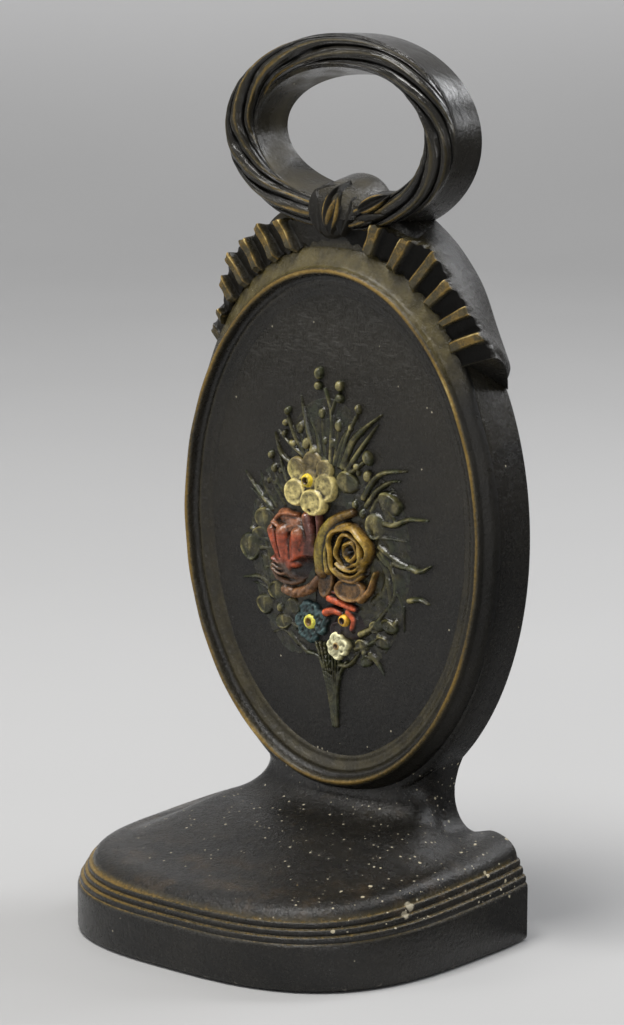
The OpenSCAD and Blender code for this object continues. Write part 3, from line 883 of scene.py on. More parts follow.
def paint_material(name, gloss, grime_and_shade):
    """Old oil paint on the relief: a streaky grime film, a painted highlight on high spots and painted shade
    in the hollows.
    """
    n = Nodes(name)
    cavity = n.attribute("cavity")
    streak = n.noise(1.1, 4, 0.65, offset=13)
    tone = n.ramp(n.noise(2.2, 4, 0.65, offset=23), 0.32, 0.70, 0.50, 1.30)
    # Raised spots are lightened by their cavity value: a painted highlight.
    raised = n.ramp(cavity, 0.05, 0.55, 1.0, 1.45)
    scaled = n.new("VectorMath", n.attribute("paint", "Color"), operation="SCALE")
    color = n.fill(scaled, {"Scale": n.times(tone, raised)}).outputs[0]
    # Hollows are darkened to near black: painted shade, its edge broken by streak noise.
    worn = n.times(n.math("SUBTRACT", streak, 0.5), 0.6)
    hollow = n.ramp(n.plus(cavity, worn), 0.04, -0.30, 0, 0.95 * grime_and_shade)
    color = n.blend(hollow, color, (0.010, 0.008, 0.005))
    film = n.ramp(streak, 0.54, 0.72, 0, 0.40 * grime_and_shade)
    color = n.blend(film, color, (0.060, 0.048, 0.020))
    normal = n.bump(n.noise(1.3, 3, 0.6), 0.22, 0.7)
    normal = n.bump(n.noise(0.45, 3, 0.65), 0.09, 0.9, normal)
    rough = n.ramp(n.noise(1.7, 3, 0.6, offset=29), 0.3, 0.7, gloss - 0.10, gloss + 0.12)
    return n.finish(color, rough, normal, 0.0, 0.55)


def rubber_material():
    n = Nodes("rubber")
    color = n.blend(n.patches(2, 4, 0.6, 0.35, 0.7), (0.010, 0.010, 0.011), (0.030, 0.029, 0.028))
    dust = n.ramp(n.noise(0.8, 3, 0.6, offset=3), 0.6, 0.75, 0, 0.3)
    color = n.blend(dust, color, (0.10, 0.095, 0.085))
    normal = n.bump(n.noise(0.3, 2, 0.5), 0.03, 0.5)
    return n.finish(color, n.ramp(n.noise(1.5, 2, 0.5), 0.3, 0.7, 0.65, 0.85), normal, 0.0, 0.35)


# ---------- Rim ----------


def build_rim():
    """Moulding round the oval: a step, a high crest and a low inner bead."""
    # Its section: [inset from the crest line, height above the body's front].
    profile = spline(
        [
            (-4.0, -0.9), (-4.0, 0.3), (-3.7, 1.5), (-3.2, 2.4), (-2.5, 3.2), (-1.9, 3.8),
            (-1.45, 4.4), (-1.15, 5.3), (-0.7, 6.1), (0.0, 6.45), (0.7, 6.1), (1.1, 5.2),
            (1.5, 4.0), (2.2, 3.3), (2.9, 3.25), (3.6, 3.4), (4.3, 3.15), (5.2, 2.5),
            (6.0, 2.05), (6.6, 2.0), (7.1, 2.0), (7.6, 1.85), (8.1, 1.5), (8.5, 1.2), (8.8, 0.6),
        ],
        4,
    )
    profile = np.vstack([profile, [[8.8, -0.9]]])
    steps = 400
    t = circle(steps)
    # The outer slope widens at the top, where the ribbon comes to meet it.
    lift = smooth((np.sin(t) - 0.45) / 0.45)
    rings = []
    for inset, h in profile:
        spread = np.where(inset < -1.2, 1 + 1.0 * lift * (-inset - 1.2) / 2.8, 1.0)
        wave = 0.14 * waves(60 * np.cos(t), 0 * t + inset, 80 * np.sin(t), 9, 23)
        x = (CREST_W - inset * spread) * np.cos(t)
        z = OVAL_Z + (CREST_H - inset * spread) * np.sin(t)
        y = -OVAL_DEPTH - h - wave * smooth(h / 2)
        rings.append(np.stack([x, y, z], -1))
    obj = loft("rim", rings, around=True)
    inset = np.repeat(profile[:, 0], steps)
    height = np.repeat(profile[:, 1], steps)
    angle = np.tile(t, len(profile))
    low = smooth(0.25 - np.sin(angle))
    crest = np.exp(-((inset / mix(0.88, 1.0, low)) ** 2))
    bead = 0.22 * np.exp(-(((inset - 3.6) / 0.45) ** 2)) * smooth(0.3 - np.cos(angle))
    wear = 0.76 + 0.26 * waves(50 * np.cos(angle), 0 * angle, 70 * np.sin(angle), 31, 22)
    worn_off = 1 - 0.22 * smooth(np.cos(angle) + 0.2) * smooth(0.6 - np.sin(angle))
    worn_off = worn_off * (1 - 0.16 * smooth(-np.cos(angle) - 0.2))
    put_float(obj, "gilt", np.maximum(crest * wear * worn_off, bead))
    top = smooth((np.sin(angle) - 0.52) / 0.24)
    outside = (inset < -0.9) * smooth(height / 2.0) * mix(0.05, 0.95, top)
    inside = 0.36 * smooth((inset - 1.6) / 2.0) * mix(0.15, 1.0, low)
    put_float(obj, "olive", outside + inside)
    put_float(obj, "shade", 0.35 * (inset < -0.9) * (1 - top))
    dress(obj, gilt_material("rim_gilt", 0.34), "rim_molding", 60)


# ---------- Ring wrap ----------


def build_wrap():
    """Twisted strands on the front of the ring, with a foot in the ring along each edge."""
    steps = 640
    across = 72
    t = circle(steps)
    T, A = np.meshgrid(t, np.linspace(0, math.pi, across), indexing="ij")
    # Strands lie almost along the ring and drift from its outer to its inner edge.
    from_knot = np.angle(np.exp(1j * (T + math.pi / 2)))
    drift = 1.2 * waves(30 * np.cos(T), 3 * A, 30 * np.sin(T), 12, 30)
    turn = 6.4 * A + 8.0 * T + drift
    strand = np.abs(np.sin(turn / 2 + 0.6))
    fine = np.abs(np.sin(1.5 * turn + 2 * T + 1.2 * drift))
    depth = 0.85 + 0.40 * waves(30 * np.cos(T), 5 * A, 30 * np.sin(T), 14, 12)
    swell = 1 - (0.40 * (1 - strand**0.6) + 0.08 * (1 - fine)) * depth
    swell = swell + 0.03 * waves(40 * np.cos(T), 6 * A, 40 * np.sin(T), 15, 5)
    # It is drawn in a little where the ribbon's knot holds it.
    pinch = 1 - 0.14 * np.exp(-((from_knot / 0.30) ** 2))
    half = (0.80 + 0.20 * swell) * spow(np.cos(A), 0.85) * pinch
    cx, cz, mid_w, mid_h = (WRAP_OUT + WRAP_IN) / 2
    half_w, half_h = (WRAP_OUT - WRAP_IN)[2:] / 2
    X = cx + (mid_w - half_w * half) * np.cos(T)
    Z = cz + (mid_h - half_h * half) * np.sin(T)
    Y = -OVAL_DEPTH + 0.4 - 4.9 * np.sin(A) ** 0.7 * swell
    foot = np.full(steps, -OVAL_DEPTH + 2)
    edges = []
    for column, reach in ((0, 0.9), (-1, -1.6)):
        x = X[:, column] + reach * np.cos(t)
        z = Z[:, column] + reach * np.sin(t)
        edges.append(np.stack([x, foot, z], -1)[:, None])
    obj = loft("wrap", np.concatenate([edges[0], np.stack([X, Y, Z], -1), edges[1]], axis=1), True)
    ridge = smooth((strand - 0.90) / 0.10)
    near_knot = np.exp(-((from_knot / 0.75) ** 2))
    upper_left = np.exp(-((np.angle(np.exp(1j * (T - 2.5))) / 0.7) ** 2))
    rubbed = smooth((strand - 0.6) / 0.4) * np.maximum(near_knot, upper_left)
    for name, values in (
        ("gilt", ridge * (0.26 + 0.40 * near_knot + 0.34 * upper_left)),
        ("olive", 0.02 + 0.10 * ridge + 0.26 * rubbed),
        ("shade", 0.85 * smooth((0.55 - strand) / 0.45)),
    ):
        put_float(obj, name, np.pad(values, ((0, 0), (1, 1))))
    dress(obj, gilt_material("wrap_gilt", 0.5, 0.8), "ring_wrap", 50)


# ---------- Ribbon ----------


def pleat_wave(phase):
    """Height of a pleat over its own width: a steep rise, a flat crest, a long fall."""
    p = phase % 1.0
    rise = smooth(p / 0.12)
    fall = smooth((p - 0.40) / 0.12) * 0.55 + 0.45 * clamp01((p - 0.40) / 0.56)
    return rise * (1 - fall)


def smooth_along(values, reach):
    """Running mean over reach points to each side."""
    padded = np.pad(values, reach, mode="reflect", reflect_type="odd")
    return np.convolve(padded, np.ones(2 * reach + 1) / (2 * reach + 1), mode="valid")


def build_ribbon(side, crests, outers, shifts, start, end):
    """Pleated frill with its drape.

    crests are the angles of the pleats' outer corners, in degrees from the top. outers is
    how far out each one reaches, in radii of the rim's crest line, and shifts is how many
    degrees nearer the top its root lies.
    """
    steps = 520
    t = np.linspace(start, end, steps)
    knots = np.r_[start - 1, crests[0] - 1.2, crests, 2 * crests[-1] - crests[-2]]
    phases = np.r_[-0.05, 0.0, np.arange(len(crests) + 1) + 0.12]
    phase = np.interp(t, knots, phases)
    wave = pleat_wave(phase)
    u = (t - start) / (end - start)
    outer = np.interp(t, crests, outers) - 0.014 * (1 - wave) + 0.004 * np.sin(t * 2.9)
    inner = 1.098 - 0.006 * wave + 0.006 * np.sin(t * 1.7)
    inner = inner - 0.03 * smooth((u - 0.8) / 0.2)
    lean = np.radians(smooth_along(np.interp(t, crests, shifts), 12))
    crest_h = mix(5.0, 4.4, u) * mix(1, 0.72, smooth((u - 0.90) / 0.10))
    # The last of the frill sinks into the body.
    last = 1 - 0.7 * smooth((u - 0.84) / 0.16) * (side < 0)
    crest_h = crest_h * last
    valley_h = 1.5 * last
    tr = np.radians(t)

    def at(angle, k):
        return side * CREST_W * k * np.sin(angle), OVAL_Z + CREST_H * k * np.cos(angle)

    lo = tr - lean
    height = valley_h + (crest_h - valley_h) * wave
    p = phase % 1.0
    face = smooth((p - 0.08) / 0.05) * (1 - smooth((p - 0.42) / 0.05))
    line = np.exp(-(((p - 0.13) / 0.045) ** 2)) + 0.7 * np.exp(-(((p - 0.40) / 0.045) ** 2))
    slope = smooth((p - 0.44) / 0.08) + (1 - smooth(p / 0.08))
    sections, gilt, shade, olive = [], [], [], []

    def add(x, y, z, gold, dark, dust):
        """One line along the ribbon, in order from the frill's root to the drape's foot."""
        sections.append(np.stack([x, y, z], -1))
        gilt.append(gold + 0 * t)
        shade.append(dark + 0 * t)
        olive.append(dust + 0 * t)

    x, z = at(lo, inner + 0.004)
    add(x, np.full(steps, -OVAL_DEPTH + 2), z, 0, 0.5, 0)
    # Painted shade lies on the slopes falling from each crest. It is deeper on the right-hand ribbon and
    # fades down the drape.
    dark = 0.85 if side > 0 else 0.40
    for v in np.linspace(0, 1, 17):
        x, z = at(mix(lo, tr, v), mix(inner, outer, v))
        roll = 1 - 0.40 * (1 - smooth(v / 0.14)) - 0.10 * smooth((v - 0.9) / 0.1)
        sag = 1 - 0.10 * math.sin(math.pi * v) + 0.03 * np.sin(v * 9 + t)
        rub = mix(0.30, 1.0, smooth((v - 0.05) / 0.5))
        gold = np.maximum(0.55 * face * rub, 1.25 * line * mix(0.5, 1.0, v)) * last
        add(x, -OVAL_DEPTH - height * roll * sag, z, gold, dark * slope, 0.10 + 0.45 * face)
    # The drape runs back from the zigzag edge and smooths out on its way.
    ex, ez = at(tr, outer)
    bx, bz = drape_line(ex, ez, side, u)
    mean = smooth_along(height, 46)
    sx, sz = smooth_along(ex, 60), smooth_along(ez, 60)
    flare = 1.8 * smooth((u - 0.86) / 0.14)
    for v in (0.03, 0.07, 0.12, 0.18, 0.26, 0.38, 0.50, 0.62, 0.76, 0.88, 0.96):
        fade = smooth(v / 0.20)
        px = mix(mix(ex, sx, fade), bx, v**1.15)
        pz = mix(mix(ez, sz, fade), bz, v**1.15)
        bulge = flare * math.sin(math.pi * v**0.7) * (1 - 0.3 * v) + 0.9 * math.sin(math.pi * v)
        depth = mix(OVAL_DEPTH + mix(height * 0.85, mean * 0.85, fade), 0.6, v)
        nearby = 1 - smooth(v / 0.08)
        dust = 0.34 * (1 - smooth(v / 0.5)) * (1 - smooth((t - 26) / 10))
        x, z = px + side * bulge * np.sin(tr), pz + bulge * np.cos(tr)
        add(x, -depth, z, 0.8 * line * nearby, 0.6 * slope * nearby, dust)
    cx, cz = at(tr, 1.04)
    add(mix(bx, cx, 0.5), np.full(steps, -0.7), mix(bz, cz, 0.5), 0, 0.5, 0)
    add(cx, np.full(steps, -OVAL_DEPTH + 3), cz, 0, 0.5, 0)
    obj = loft("ribbon_" + ("right" if side > 0 else "left") + "_frill", np.stack(sections, axis=1))
    at_mm = points_of(obj)
    values = np.stack(gilt, axis=1).ravel()
    put_float(obj, "gilt", values * (0.85 + 0.35 * waves(*at_mm.T, 17, 6.5)))
    put_float(obj, "olive", np.stack(olive, axis=1))
    put_float(obj, "shade", np.stack(shade, axis=1))
    return obj


def drape_line(x, z, side, u):
    """Foot of the drape on the back plane, at about the same angle as each edge point."""
    right = np.vstack([spline(SHOULDER, 8), oval_arc(0.2, 30)])
    angle = np.arctan2(right[:, 0], right[:, 1] - OVAL_Z)
    radius = np.hypot(right[:, 0], right[:, 1] - OVAL_Z)
    want = np.arctan2(side * x, z - OVAL_Z) + math.radians(3.4) * smooth((u - 0.7) / 0.3)
    r = np.interp(want, angle, radius)
    return side * r * np.sin(want), OVAL_Z + r * np.cos(want)


def lens(X, Z, at, r, h, turn, lip):
    """Almond-shaped fold, pointed at both ends; lip raises its two edges."""
    u, v = local(X, Z, at, r, turn)
    reach = np.maximum(1e-3, 1 - v * v)
    q = np.abs(u) / reach
    edge = np.sqrt(np.maximum(0, 1 - q**4))
    middle = 1 - lip * (1 - smooth(q / 0.8))
    return np.where((q < 1) & (np.abs(v) < 1), h * edge * middle * reach**0.25, FLAT)


# Folds of the knot: [centre], [half width, half length].
KNOT_FOLD = (0.6, 226.6), (3.9, 8.6)
KNOT_CREASE = (0.4, 226.2), (1.3, 6.0)
KNOT_LOOP = (15.6, 229.6), (2.7, 7.6)
KNOT_LOBE = (-6.0, 225.8), (3.4, 7.4)


def knot(X, Z):
    return many(X, Z, [
        (dome, (-2.2, 225.6), (8.6, 8.8), 5.4, 0, 0.45),
        (dome, (0.5, 215.5), (19, 6.5), 1.5, 0, 0.6),
        (lens, (-6.4, 225.6), (3.6, 7.6), 5.8, 8, 0.10),
        (lens, *KNOT_FOLD, 7.6, -13, 0.42),
        (lens, *KNOT_CREASE, 6.6, -24, 0.0),
        (lens, (4.8, 224.6), (2.9, 7.0), 5.8, -20, 0.25),
        (lens, *KNOT_LOOP, 6.6, -64, 0.35),
        (lens, (15.0, 225.4), (1.7, 7.0), 5.6, -80, 0.0),
    ])


def build_ribbons():
    material = gilt_material("ribbon_gilt", 0.45)
    right = build_ribbon(
        1, [12.3, 21.6, 30.9, 36.2, 43.6, 49.2], [1.222, 1.237, 1.300, 1.259, 1.275, 1.275],
        [1.5, 2.6, 3.9, 2.8, 4.4, 4.6], 2.0, 54.5,
    )
    left = build_ribbon(
        -1, [17.4, 24.1, 29.4, 35.7, 40.0, 45.2], [1.228, 1.258, 1.250, 1.258, 1.212, 1.135],
        [3.4, 3.1, 1.8, 2.2, 0.5, 0.0], 3.0, 52.0,
    )
    dress(right, material, "ribbon_right", 38)
    dress(left, material, "ribbon_left", 38)
    obj, X, Z, _ = relief("knot", knot, (-19.5, 24.5, 208, 237), 0.24, OVAL_DEPTH, 1.5, 0.20)
    # Gold is left along the folds' edges; each starts at a height on a fold of height 1.
    gold = np.maximum.reduce([
        share * smooth((lens(X, Z, *fold, 1.0, turn, lip) - start) / fade)
        for share, fold, turn, lip, start, fade in (
            (0.90, KNOT_FOLD, -13, 1.0, 0.66, 0.2),
            (0.60, KNOT_CREASE, -24, 0.0, 0.6, 0.3),
            (0.85, KNOT_LOOP, -64, 1.0, 0.6, 0.25),
            (0.20, KNOT_LOBE, 8, 1.0, 0.7, 0.2),
        )
    ])
    low = smooth((218 - Z) / 3)
    put_float(obj, "gilt", gold)
    put_float(obj, "olive", mix(0.08, 0.34, low))
    put_float(obj, "shade", 0.5 * (1 - low) * (1 - smooth(gold / 0.4)))
    dress(obj, material, "ribbon_knot", 60)


# ---------- Bouquet ----------


def painted(name, node, shape, box, material, paint, step=0.22, soft=0.16):
    """Relief on the oval field, with its colour worked out at each vertex."""
    obj, X, Z, h = relief(name, shape, box, step, FIELD_Y, soft=soft)
    put_color(obj, "paint", paint(X, Z, h))
    dress(obj, material, node, 60)


def coats(base, *layers):
    """Base colour under (colour, weight) layers."""
    out = np.array([base])
    for color, weight in layers:
        out = mix(out, np.array(color), weight[:, None])
    return out


def flat_paint(*stops):
    """Colour that runs through (height, colour) stops."""
    heights, colors = zip(*stops)

    def paint(X, Z, h):
        return np.stack([np.interp(h, heights, channel) for channel in zip(*colors)], -1)

    return paint


def red_rose(X, Z):
    h = many(X, Z, [
        (dome, (-15.6, 117.4), (9.2, 11.0), 5.0, 6, 0.4),
        (dome, (-18.4, 126.4), (5.4, 3.2), 3.2, -14, 0.5),
        (stroke, [(-23.6, 124.6), (-20.4, 128.0), (-14.4, 128.2)], 1.2, 4.0, 0.6),
        (stroke, [(-22.8, 125.2), (-19.0, 123.8), (-14.6, 124.8)], 1.0, 5.4, 0.6),
    ])
    h = carve(h, X, Z, 1.5, stroke, [(-22.6, 123.0), (-19, 121.7), (-15.0, 122.4)], 0.8, 1.0, 0.8)
    for x, lean, w, top in ((-22.4, 2.4, 2.5, 5.2), (-18.4, 0.6, 3.4, 6.5), (-13.0, -0.5, 3.1, 6.2)):
        fold = [(x - lean * 0.5, 122.4), (x, 118.6), (x + lean * 0.8, 113.6)]
        h = np.maximum(h, stroke(X, Z, fold, w, top, 0.6))
    for x, lean in ((-20.6, 1.2), (-15.7, 0.2)):
        crease = [(x - lean * 0.5, 122.0), (x, 118.6), (x + lean * 0.6, 114.2)]
        h = carve(h, X, Z, 0.8, stroke, crease, 0.5, 1.0, 0.8)
    h = many(X, Z, [
        (stroke, [(-10.4, 128.0), (-8.6, 120.6), (-8.9, 114.8)], 2.2, 4.0, 0.5),
        (stroke, [(-5.9, 130.8), (-5.4, 124.4), (-6.8, 117.0)], 1.1, 3.4, 0.5),
    ], h)
    h = carve(h, X, Z, 2.6, dome, (-10.6, 111.9), (5.4, 3.6), 1.0, 24, 0.5)
    for z, w in ((112.6, 3.4), (110.9, 3.8), (109.3, 4.0)):
        ridge = [(-23.6, z + 0.6), (-20.4, z - 0.8), (-20.4 + w, z + 0.3)]
        h = np.maximum(h, stroke(X, Z, ridge, 0.95, 4.2, 0.7))
    low = stroke(X, Z, [(-19.4, 103.4), (-15.2, 102.8), (-9.6, 105.0), (-6.0, 108.6)], 2.0, 3.4, 0.85)
    low = low - 0.35 * np.maximum(0, np.sin(2.2 * X - 1.1 * Z)) * (low > 0)
    return many(X, Z, [
        (dome, (-14.6, 112.4), (2.6, 1.6), 4.6, 15),
        (stroke, [(-24.6, 109.6), (-22.0, 106.6), (-17, 105.8), (-12.5, 107.2)], 1.5, 2.6, 0.7),
    ], np.maximum(h, low))


def red_paint(X, Z, h):
    bright = np.array([0.46, 0.095, 0.040])
    bead = np.maximum(0, dome(X, Z, (-14.6, 112.4), (2.9, 1.9), 1.0, 15, 0.5))
    hollow = np.maximum(0, dome(X, Z, (-10.2, 111.6), (5.8, 4.0), 1.0, 24, 0.4))
    return coats(
        bright,
        ((0.230, 0.105, 0.048), smooth((Z - 121.0) / 3.0) * 0.85),
        ((0.130, 0.050, 0.038), smooth((X + 11.0) / 1.6)),
        ((0.135, 0.072, 0.038), smooth((114.0 - Z) / 2.5)),
        # The carved hollow is painted near black: painted shade.
        (bright * 0.9, bead),
        ((0.012, 0.004, 0.005), hollow * (1 - bead)),
        ((0.260, 0.125, 0.055), smooth((106.8 - Z - 0.30 * np.abs(X + 13)) / 1.5)),
    )


def rose_ring(X, Z, at, r, w, top, wave):
    """Irregular ring of petal edges round a rose's heart: steep inside, sloping outside."""
    dx, dz = X - at[0], Z - at[1]
    a = np.arctan2(dz, dx)
    d = np.hypot(dx / r[0], dz / r[1])
    reach = 1 + 0.08 * np.sin(3 * a + wave) + 0.06 * np.sin(5 * a + 2 * wave)
    mean = (r[0] + r[1]) / 2
    off = (d - reach) * mean / w
    q = 1 - np.where(off < 0, off / 0.55, off / 1.55) ** 2
    rise = top * (0.90 + 0.16 * np.sin(2 * a + wave))
    return np.where(q > 0, rise * np.sqrt(np.maximum(q, 0)), FLAT)


def gold_rose(X, Z):
    h = many(X, Z, [
        (dome, (7.4, 117.6), (8.6, 9.6), 2.6, 0, 0.5),
        (dome, (8.0, 119.2), (5.4, 5.6), 3.2, 0, 0.6),
        (rose_ring, (7.3, 119.2), (7.3, 7.6), 1.25, 5.0, 0.4),
        (rose_ring, (7.9, 119.4), (4.6, 4.7), 1.05, 5.0, 2.0),
        (rose_ring, (8.2, 119.5), (2.4, 2.5), 0.85, 4.8, 4.1),
    ])
    h = h - 2.0 * np.exp(-(((X - 8.2) / 1.1) ** 2 + ((Z - 119.4) / 1.1) ** 2)) * (h > 0)
    for z, half, top in ((113.9, 4.6, 5.0), (112.2, 5.0, 4.7), (110.4, 4.8, 4.4)):
        arc = [(8.0 - half, z + 1.3), (6.0, z - 0.2), (9.8, z - 0.4), (8.2 + half, z + 1.9)]
        h = np.maximum(h, stroke(X, Z, arc, 0.95, top, 0.75))
    outer = [(-3.9, 112.0), (-4.6, 118), (-2.7, 124.4), (1.8, 128.8), (7.6, 131.6)]
    return many(X, Z, [
        (cup, (7.8, 107.0), (6.6, 4.2), 3.6, 4, 0.24, 0.16),
        (cup, (-2.4, 108.2), (3.2, 6.0), 2.6, -12, 0.2, 0.2),
        (stroke, [(12.0, 104.2), (15.6, 108.0), (17.6, 113.6)], 1.3, 3.8, 0.7),
        (stroke, outer, 3.4, 4.0, 0.45),
        (stroke, [(-0.6, 112.0), (-1.6, 118), (-0.4, 122.6)], 1.5, 4.6, 0.6),
        (stroke, [(2.6, 126.4), (6.6, 127.8), (11.4, 126.4)], 1.2, 3.4, 0.6),
    ], h)


def gold_paint(X, Z, h):
    return coats(
        (0.045, 0.024, 0.008),
        ((0.29, 0.175, 0.028), smooth((h - 1.6) / 2.6)),
        ((0.47, 0.33, 0.068), smooth((h - 4.3) / 1.2) * 0.7),
        ((0.270, 0.140, 0.048), smooth((112.6 - Z) / 3.0) * smooth((h - 1.4) / 1.5) * 0.85),
        ((0.30, 0.235, 0.045), smooth((1.0 - X) / 3.0) * smooth((Z - 111) / 4) * 0.75),
        ((0.120, 0.062, 0.022), smooth((0.5 - X) / 1.5) * smooth((112 - Z) / 3) * 0.8),
    )


def cream_blossom(X, Z):
    h = dome(X, Z, (-9.2, 139.6), (5.6, 5.6), 2.8)
    for x, z, rx, rz, top in (
        (-8.4, 145.4, 4.4, 4.4, 2.2), (-3.4, 144.0, 3.3, 3.6, 2.6), (-14.7, 143.0, 4.0, 4.2, 2.6),
        (-2.9, 138.4, 4.3, 5.0, 2.9), (-14.8, 135.6, 4.8, 4.7, 3.4), (-7.4, 133.2, 5.3, 4.6, 3.8),
    ):
        petal = cup(X, Z, (x, z), (rx, rz), top, 0, 0.13, 0.18)
        ripple = 0.06 * np.sin(3.0 * np.hypot(X - x + 0.8, Z - z - 0.9)) * (petal > 0)
        h = np.maximum(h, petal + ripple)
    return carve(h, X, Z, 1.4, dome, (-9.0, 130.2), (1.3, 1.0), 1.0, 0, 1.0)


def cream_paint(X, Z, h):
    return coats(
        (0.72, 0.60, 0.235),
        ((0.165, 0.125, 0.052), smooth((Z - 139.6 - 0.25 * np.abs(X + 8.5)) / 2.5) * 0.95),
        ((0.46, 0.39, 0.14), np.exp(-(((X + 16.6) / 2.0) ** 2) - ((Z - 142.6) / 3.0) ** 2)),
        ((0.36, 0.30, 0.12), smooth((X + 4.6) / 3.0) * smooth((Z - 131) / 4) * 0.7),
    )


def small_blossom(at, r, turn, top, petal_r, reach, ragged):
    """Seven cupped petals round a low dome, roughened where ragged is more than 0."""
    petals = 7

    def shape(X, Z):
        h = dome(X, Z, at, (0.66 * r, 0.66 * r), 0.75 * top)
        for i in range(petals):
            a = math.radians(turn + 360 * i / petals + 9 * math.sin(2.3 * i))
            size = petal_r * r * (1 + 0.14 * math.sin(3.7 * i + 1))
            centre = (at[0] + reach * r * math.cos(a), at[1] + reach * r * math.sin(a))
            h = np.maximum(h, cup(X, Z, centre, (size, size * 0.9), top, 20 * i, 0.20, 0.35))
        rough = ragged * (waves(X, 0 * X, Z, 71, 1.6) + 0.7 * waves(X, 0 * X, Z, 72, 0.9))
        return h + rough * (h > 0)

    return shape


def eye(at, r, top, pit):
    """Blossom's centre: a raised ring round a flat pit."""

    def shape(X, Z):
        d = np.hypot(X - at[0], Z - at[1]) / r
        ring = top * np.sqrt(np.maximum(0, 1 - ((d - 0.55) / 0.45) ** 2))
        return np.where(d < 1, np.maximum(ring, top * (1 - pit) * (d < 0.6)), FLAT)

    return shape


def eye_paint(at, r, rim, pit):
    """Colour pit in the middle of a blossom's centre and rim round it."""

    def paint(X, Z, h):
        d = np.hypot(X - at[0], Z - at[1]) / r
        return coats(pit, (rim, smooth((d - 0.42) / 0.22)))

    return paint


def leaf_cup(X, Z, at, r, h, turn, facing):
    """Rounded leaf: a mound whose rim stands up on one side and fades on the other."""
    u, v = local(X, Z, at, r, turn)
    a = np.arctan2(v, u)
    q = np.sqrt(u * u + v * v) * (1 + 0.06 * np.sin(3 * a + at[0]))
    side = 0.5 + 0.5 * np.cos(a + math.radians(turn) - math.radians(facing))
    rim = np.exp(-(((q - 0.84) / 0.12) ** 2)) * smooth((side - 0.35) / 0.5)
    body = 0.30 + 0.45 * np.sqrt(np.maximum(0, 1 - q * q)) + 0.14 * v
    edge = np.sqrt(np.maximum(0, 1 - np.clip((q - 0.78) / 0.22, 0, 1) ** 2))
    vein = 0.14 * np.exp(-((u / 0.10) ** 2)) * (q < 0.7)
    return np.where(q < 1, h * (body + 0.50 * rim + vein) * edge, FLAT)


def leaf_paint(X, Z, h):
    patch = smooth(0.45 + 1.5 * waves(X, 0 * X, Z, 44, 7))
    green = smooth(0.4 + 1.2 * waves(X, 0 * X, Z, 45, 6))
    return coats(
        (0.030, 0.028, 0.014),
        ((0.058, 0.053, 0.020), smooth((h - 0.4) / 0.9)),
        ((0.310, 0.265, 0.105), smooth((h - 1.2) / 0.6) * patch * 0.85),
        ((0.020, 0.034, 0.018), green * 0.40),
    )


def foliage(X, Z, blades, tip, cups, beads, bead_h, ground, seed):
    """One side's greenery: blades, rounded leaves and berries over a low mound."""
    h = many(X, Z, [(stroke, path, w, top, tip) for path, w, top in blades])
    h = many(X, Z, [(leaf_cup, *values) for values in cups], h)
    h = many(X, Z, [(dome, at, (r, r * 1.3), r * bead_h) for at, r in beads], h)
    mound = dome(X, Z, *ground, 1.0)
    return np.maximum(h, mound + 0.25 * waves(X, 0 * X, Z, seed, 5) * (mound > 0))


def leaves_left(X, Z):
    blades = [
        ([(-25.5, 128.5), (-31.5, 133.5), (-38.0, 139.8)], 0.9, 1.7),
        ([(-24.0, 129.5), (-29.0, 135.0), (-31.5, 140.5)], 0.6, 1.3),
        ([(-27.5, 128.5), (-33.0, 133.0), (-36.5, 134.5)], 0.6, 1.2),
        ([(-20.5, 130.5), (-24.5, 136.0), (-29.0, 140.5)], 0.55, 1.2),
        ([(-19.5, 132.5), (-24.0, 138.0), (-26.6, 145.6)], 0.55, 1.3),
        ([(-18.5, 135.5), (-22.0, 143.0), (-24.2, 153.8)], 0.55, 1.3),
        ([(-22.0, 132.0), (-26.0, 137.0), (-27.0, 141.0)], 0.5, 1.1),
        ([(-26.0, 103.0), (-31.0, 105.6), (-38.8, 104.4)], 1.1, 1.5),
        ([(-24.0, 100.5), (-30.0, 103.2), (-34.5, 103.4)], 0.8, 1.2),
        ([(-15.0, 86.0), (-20.5, 89.6), (-26.0, 88.0)], 0.8, 1.2),
        ([(-11.0, 83.5), (-15.5, 87.0), (-19.5, 91.0)], 0.7, 1.1),
        ([(-30.6, 115.2), (-25.5, 115.8)], 1.0, 1.6),
        ([(-34.5, 121.2), (-30.0, 118.6), (-25.8, 118.4)], 0.8, 1.5),
        ([(-26.0, 110.0), (-27.8, 116.0), (-31.0, 121.0)], 1.3, 1.3),
        ([(-28.5, 112.0), (-27.6, 107.0), (-26.4, 103.0)], 2.0, 1.2),
        ([(-13.0, 91.5), (-17.5, 92.5), (-22.0, 97.0)], 0.9, 1.4),
    ]
    cups = [
        ((-28.4, 124.3), (4.3, 5.2), 2.1, 10, 120), ((-34.8, 115.2), (4.6, 4.8), 1.9, 0, 250),
        ((-23.6, 102.2), (3.6, 3.6), 1.9, 0, 170), ((-28.6, 97.2), (3.6, 3.4), 1.8, 0, 215),
        ((-20.6, 92.6), (3.6, 2.6), 1.9, 15, 250), ((-31.5, 119.6), (4.0, 2.2), 1.7, 40, 90),
        ((-25.4, 107.4), (3.8, 2.8), 1.5, -30, 100), ((-17.4, 97.8), (3.8, 3.0), 1.6, 20, 60),
    ]
    beads = [((-26.6, 146.0), 1.2), ((-25.2, 141.8), 1.2), ((-27.4, 137.6), 0.9), ((-22.4, 96.9), 1.4),
             ((-28.9, 133.0), 0.8), ((-30.4, 128.6), 1.0), ((-24.4, 137.2), 0.9), ((-22.6, 141.4), 0.9)]
    return foliage(X, Z, blades, 0.2, cups, beads, 1.4, ((-20, 113), (15, 31), 0.95, 8), 61)


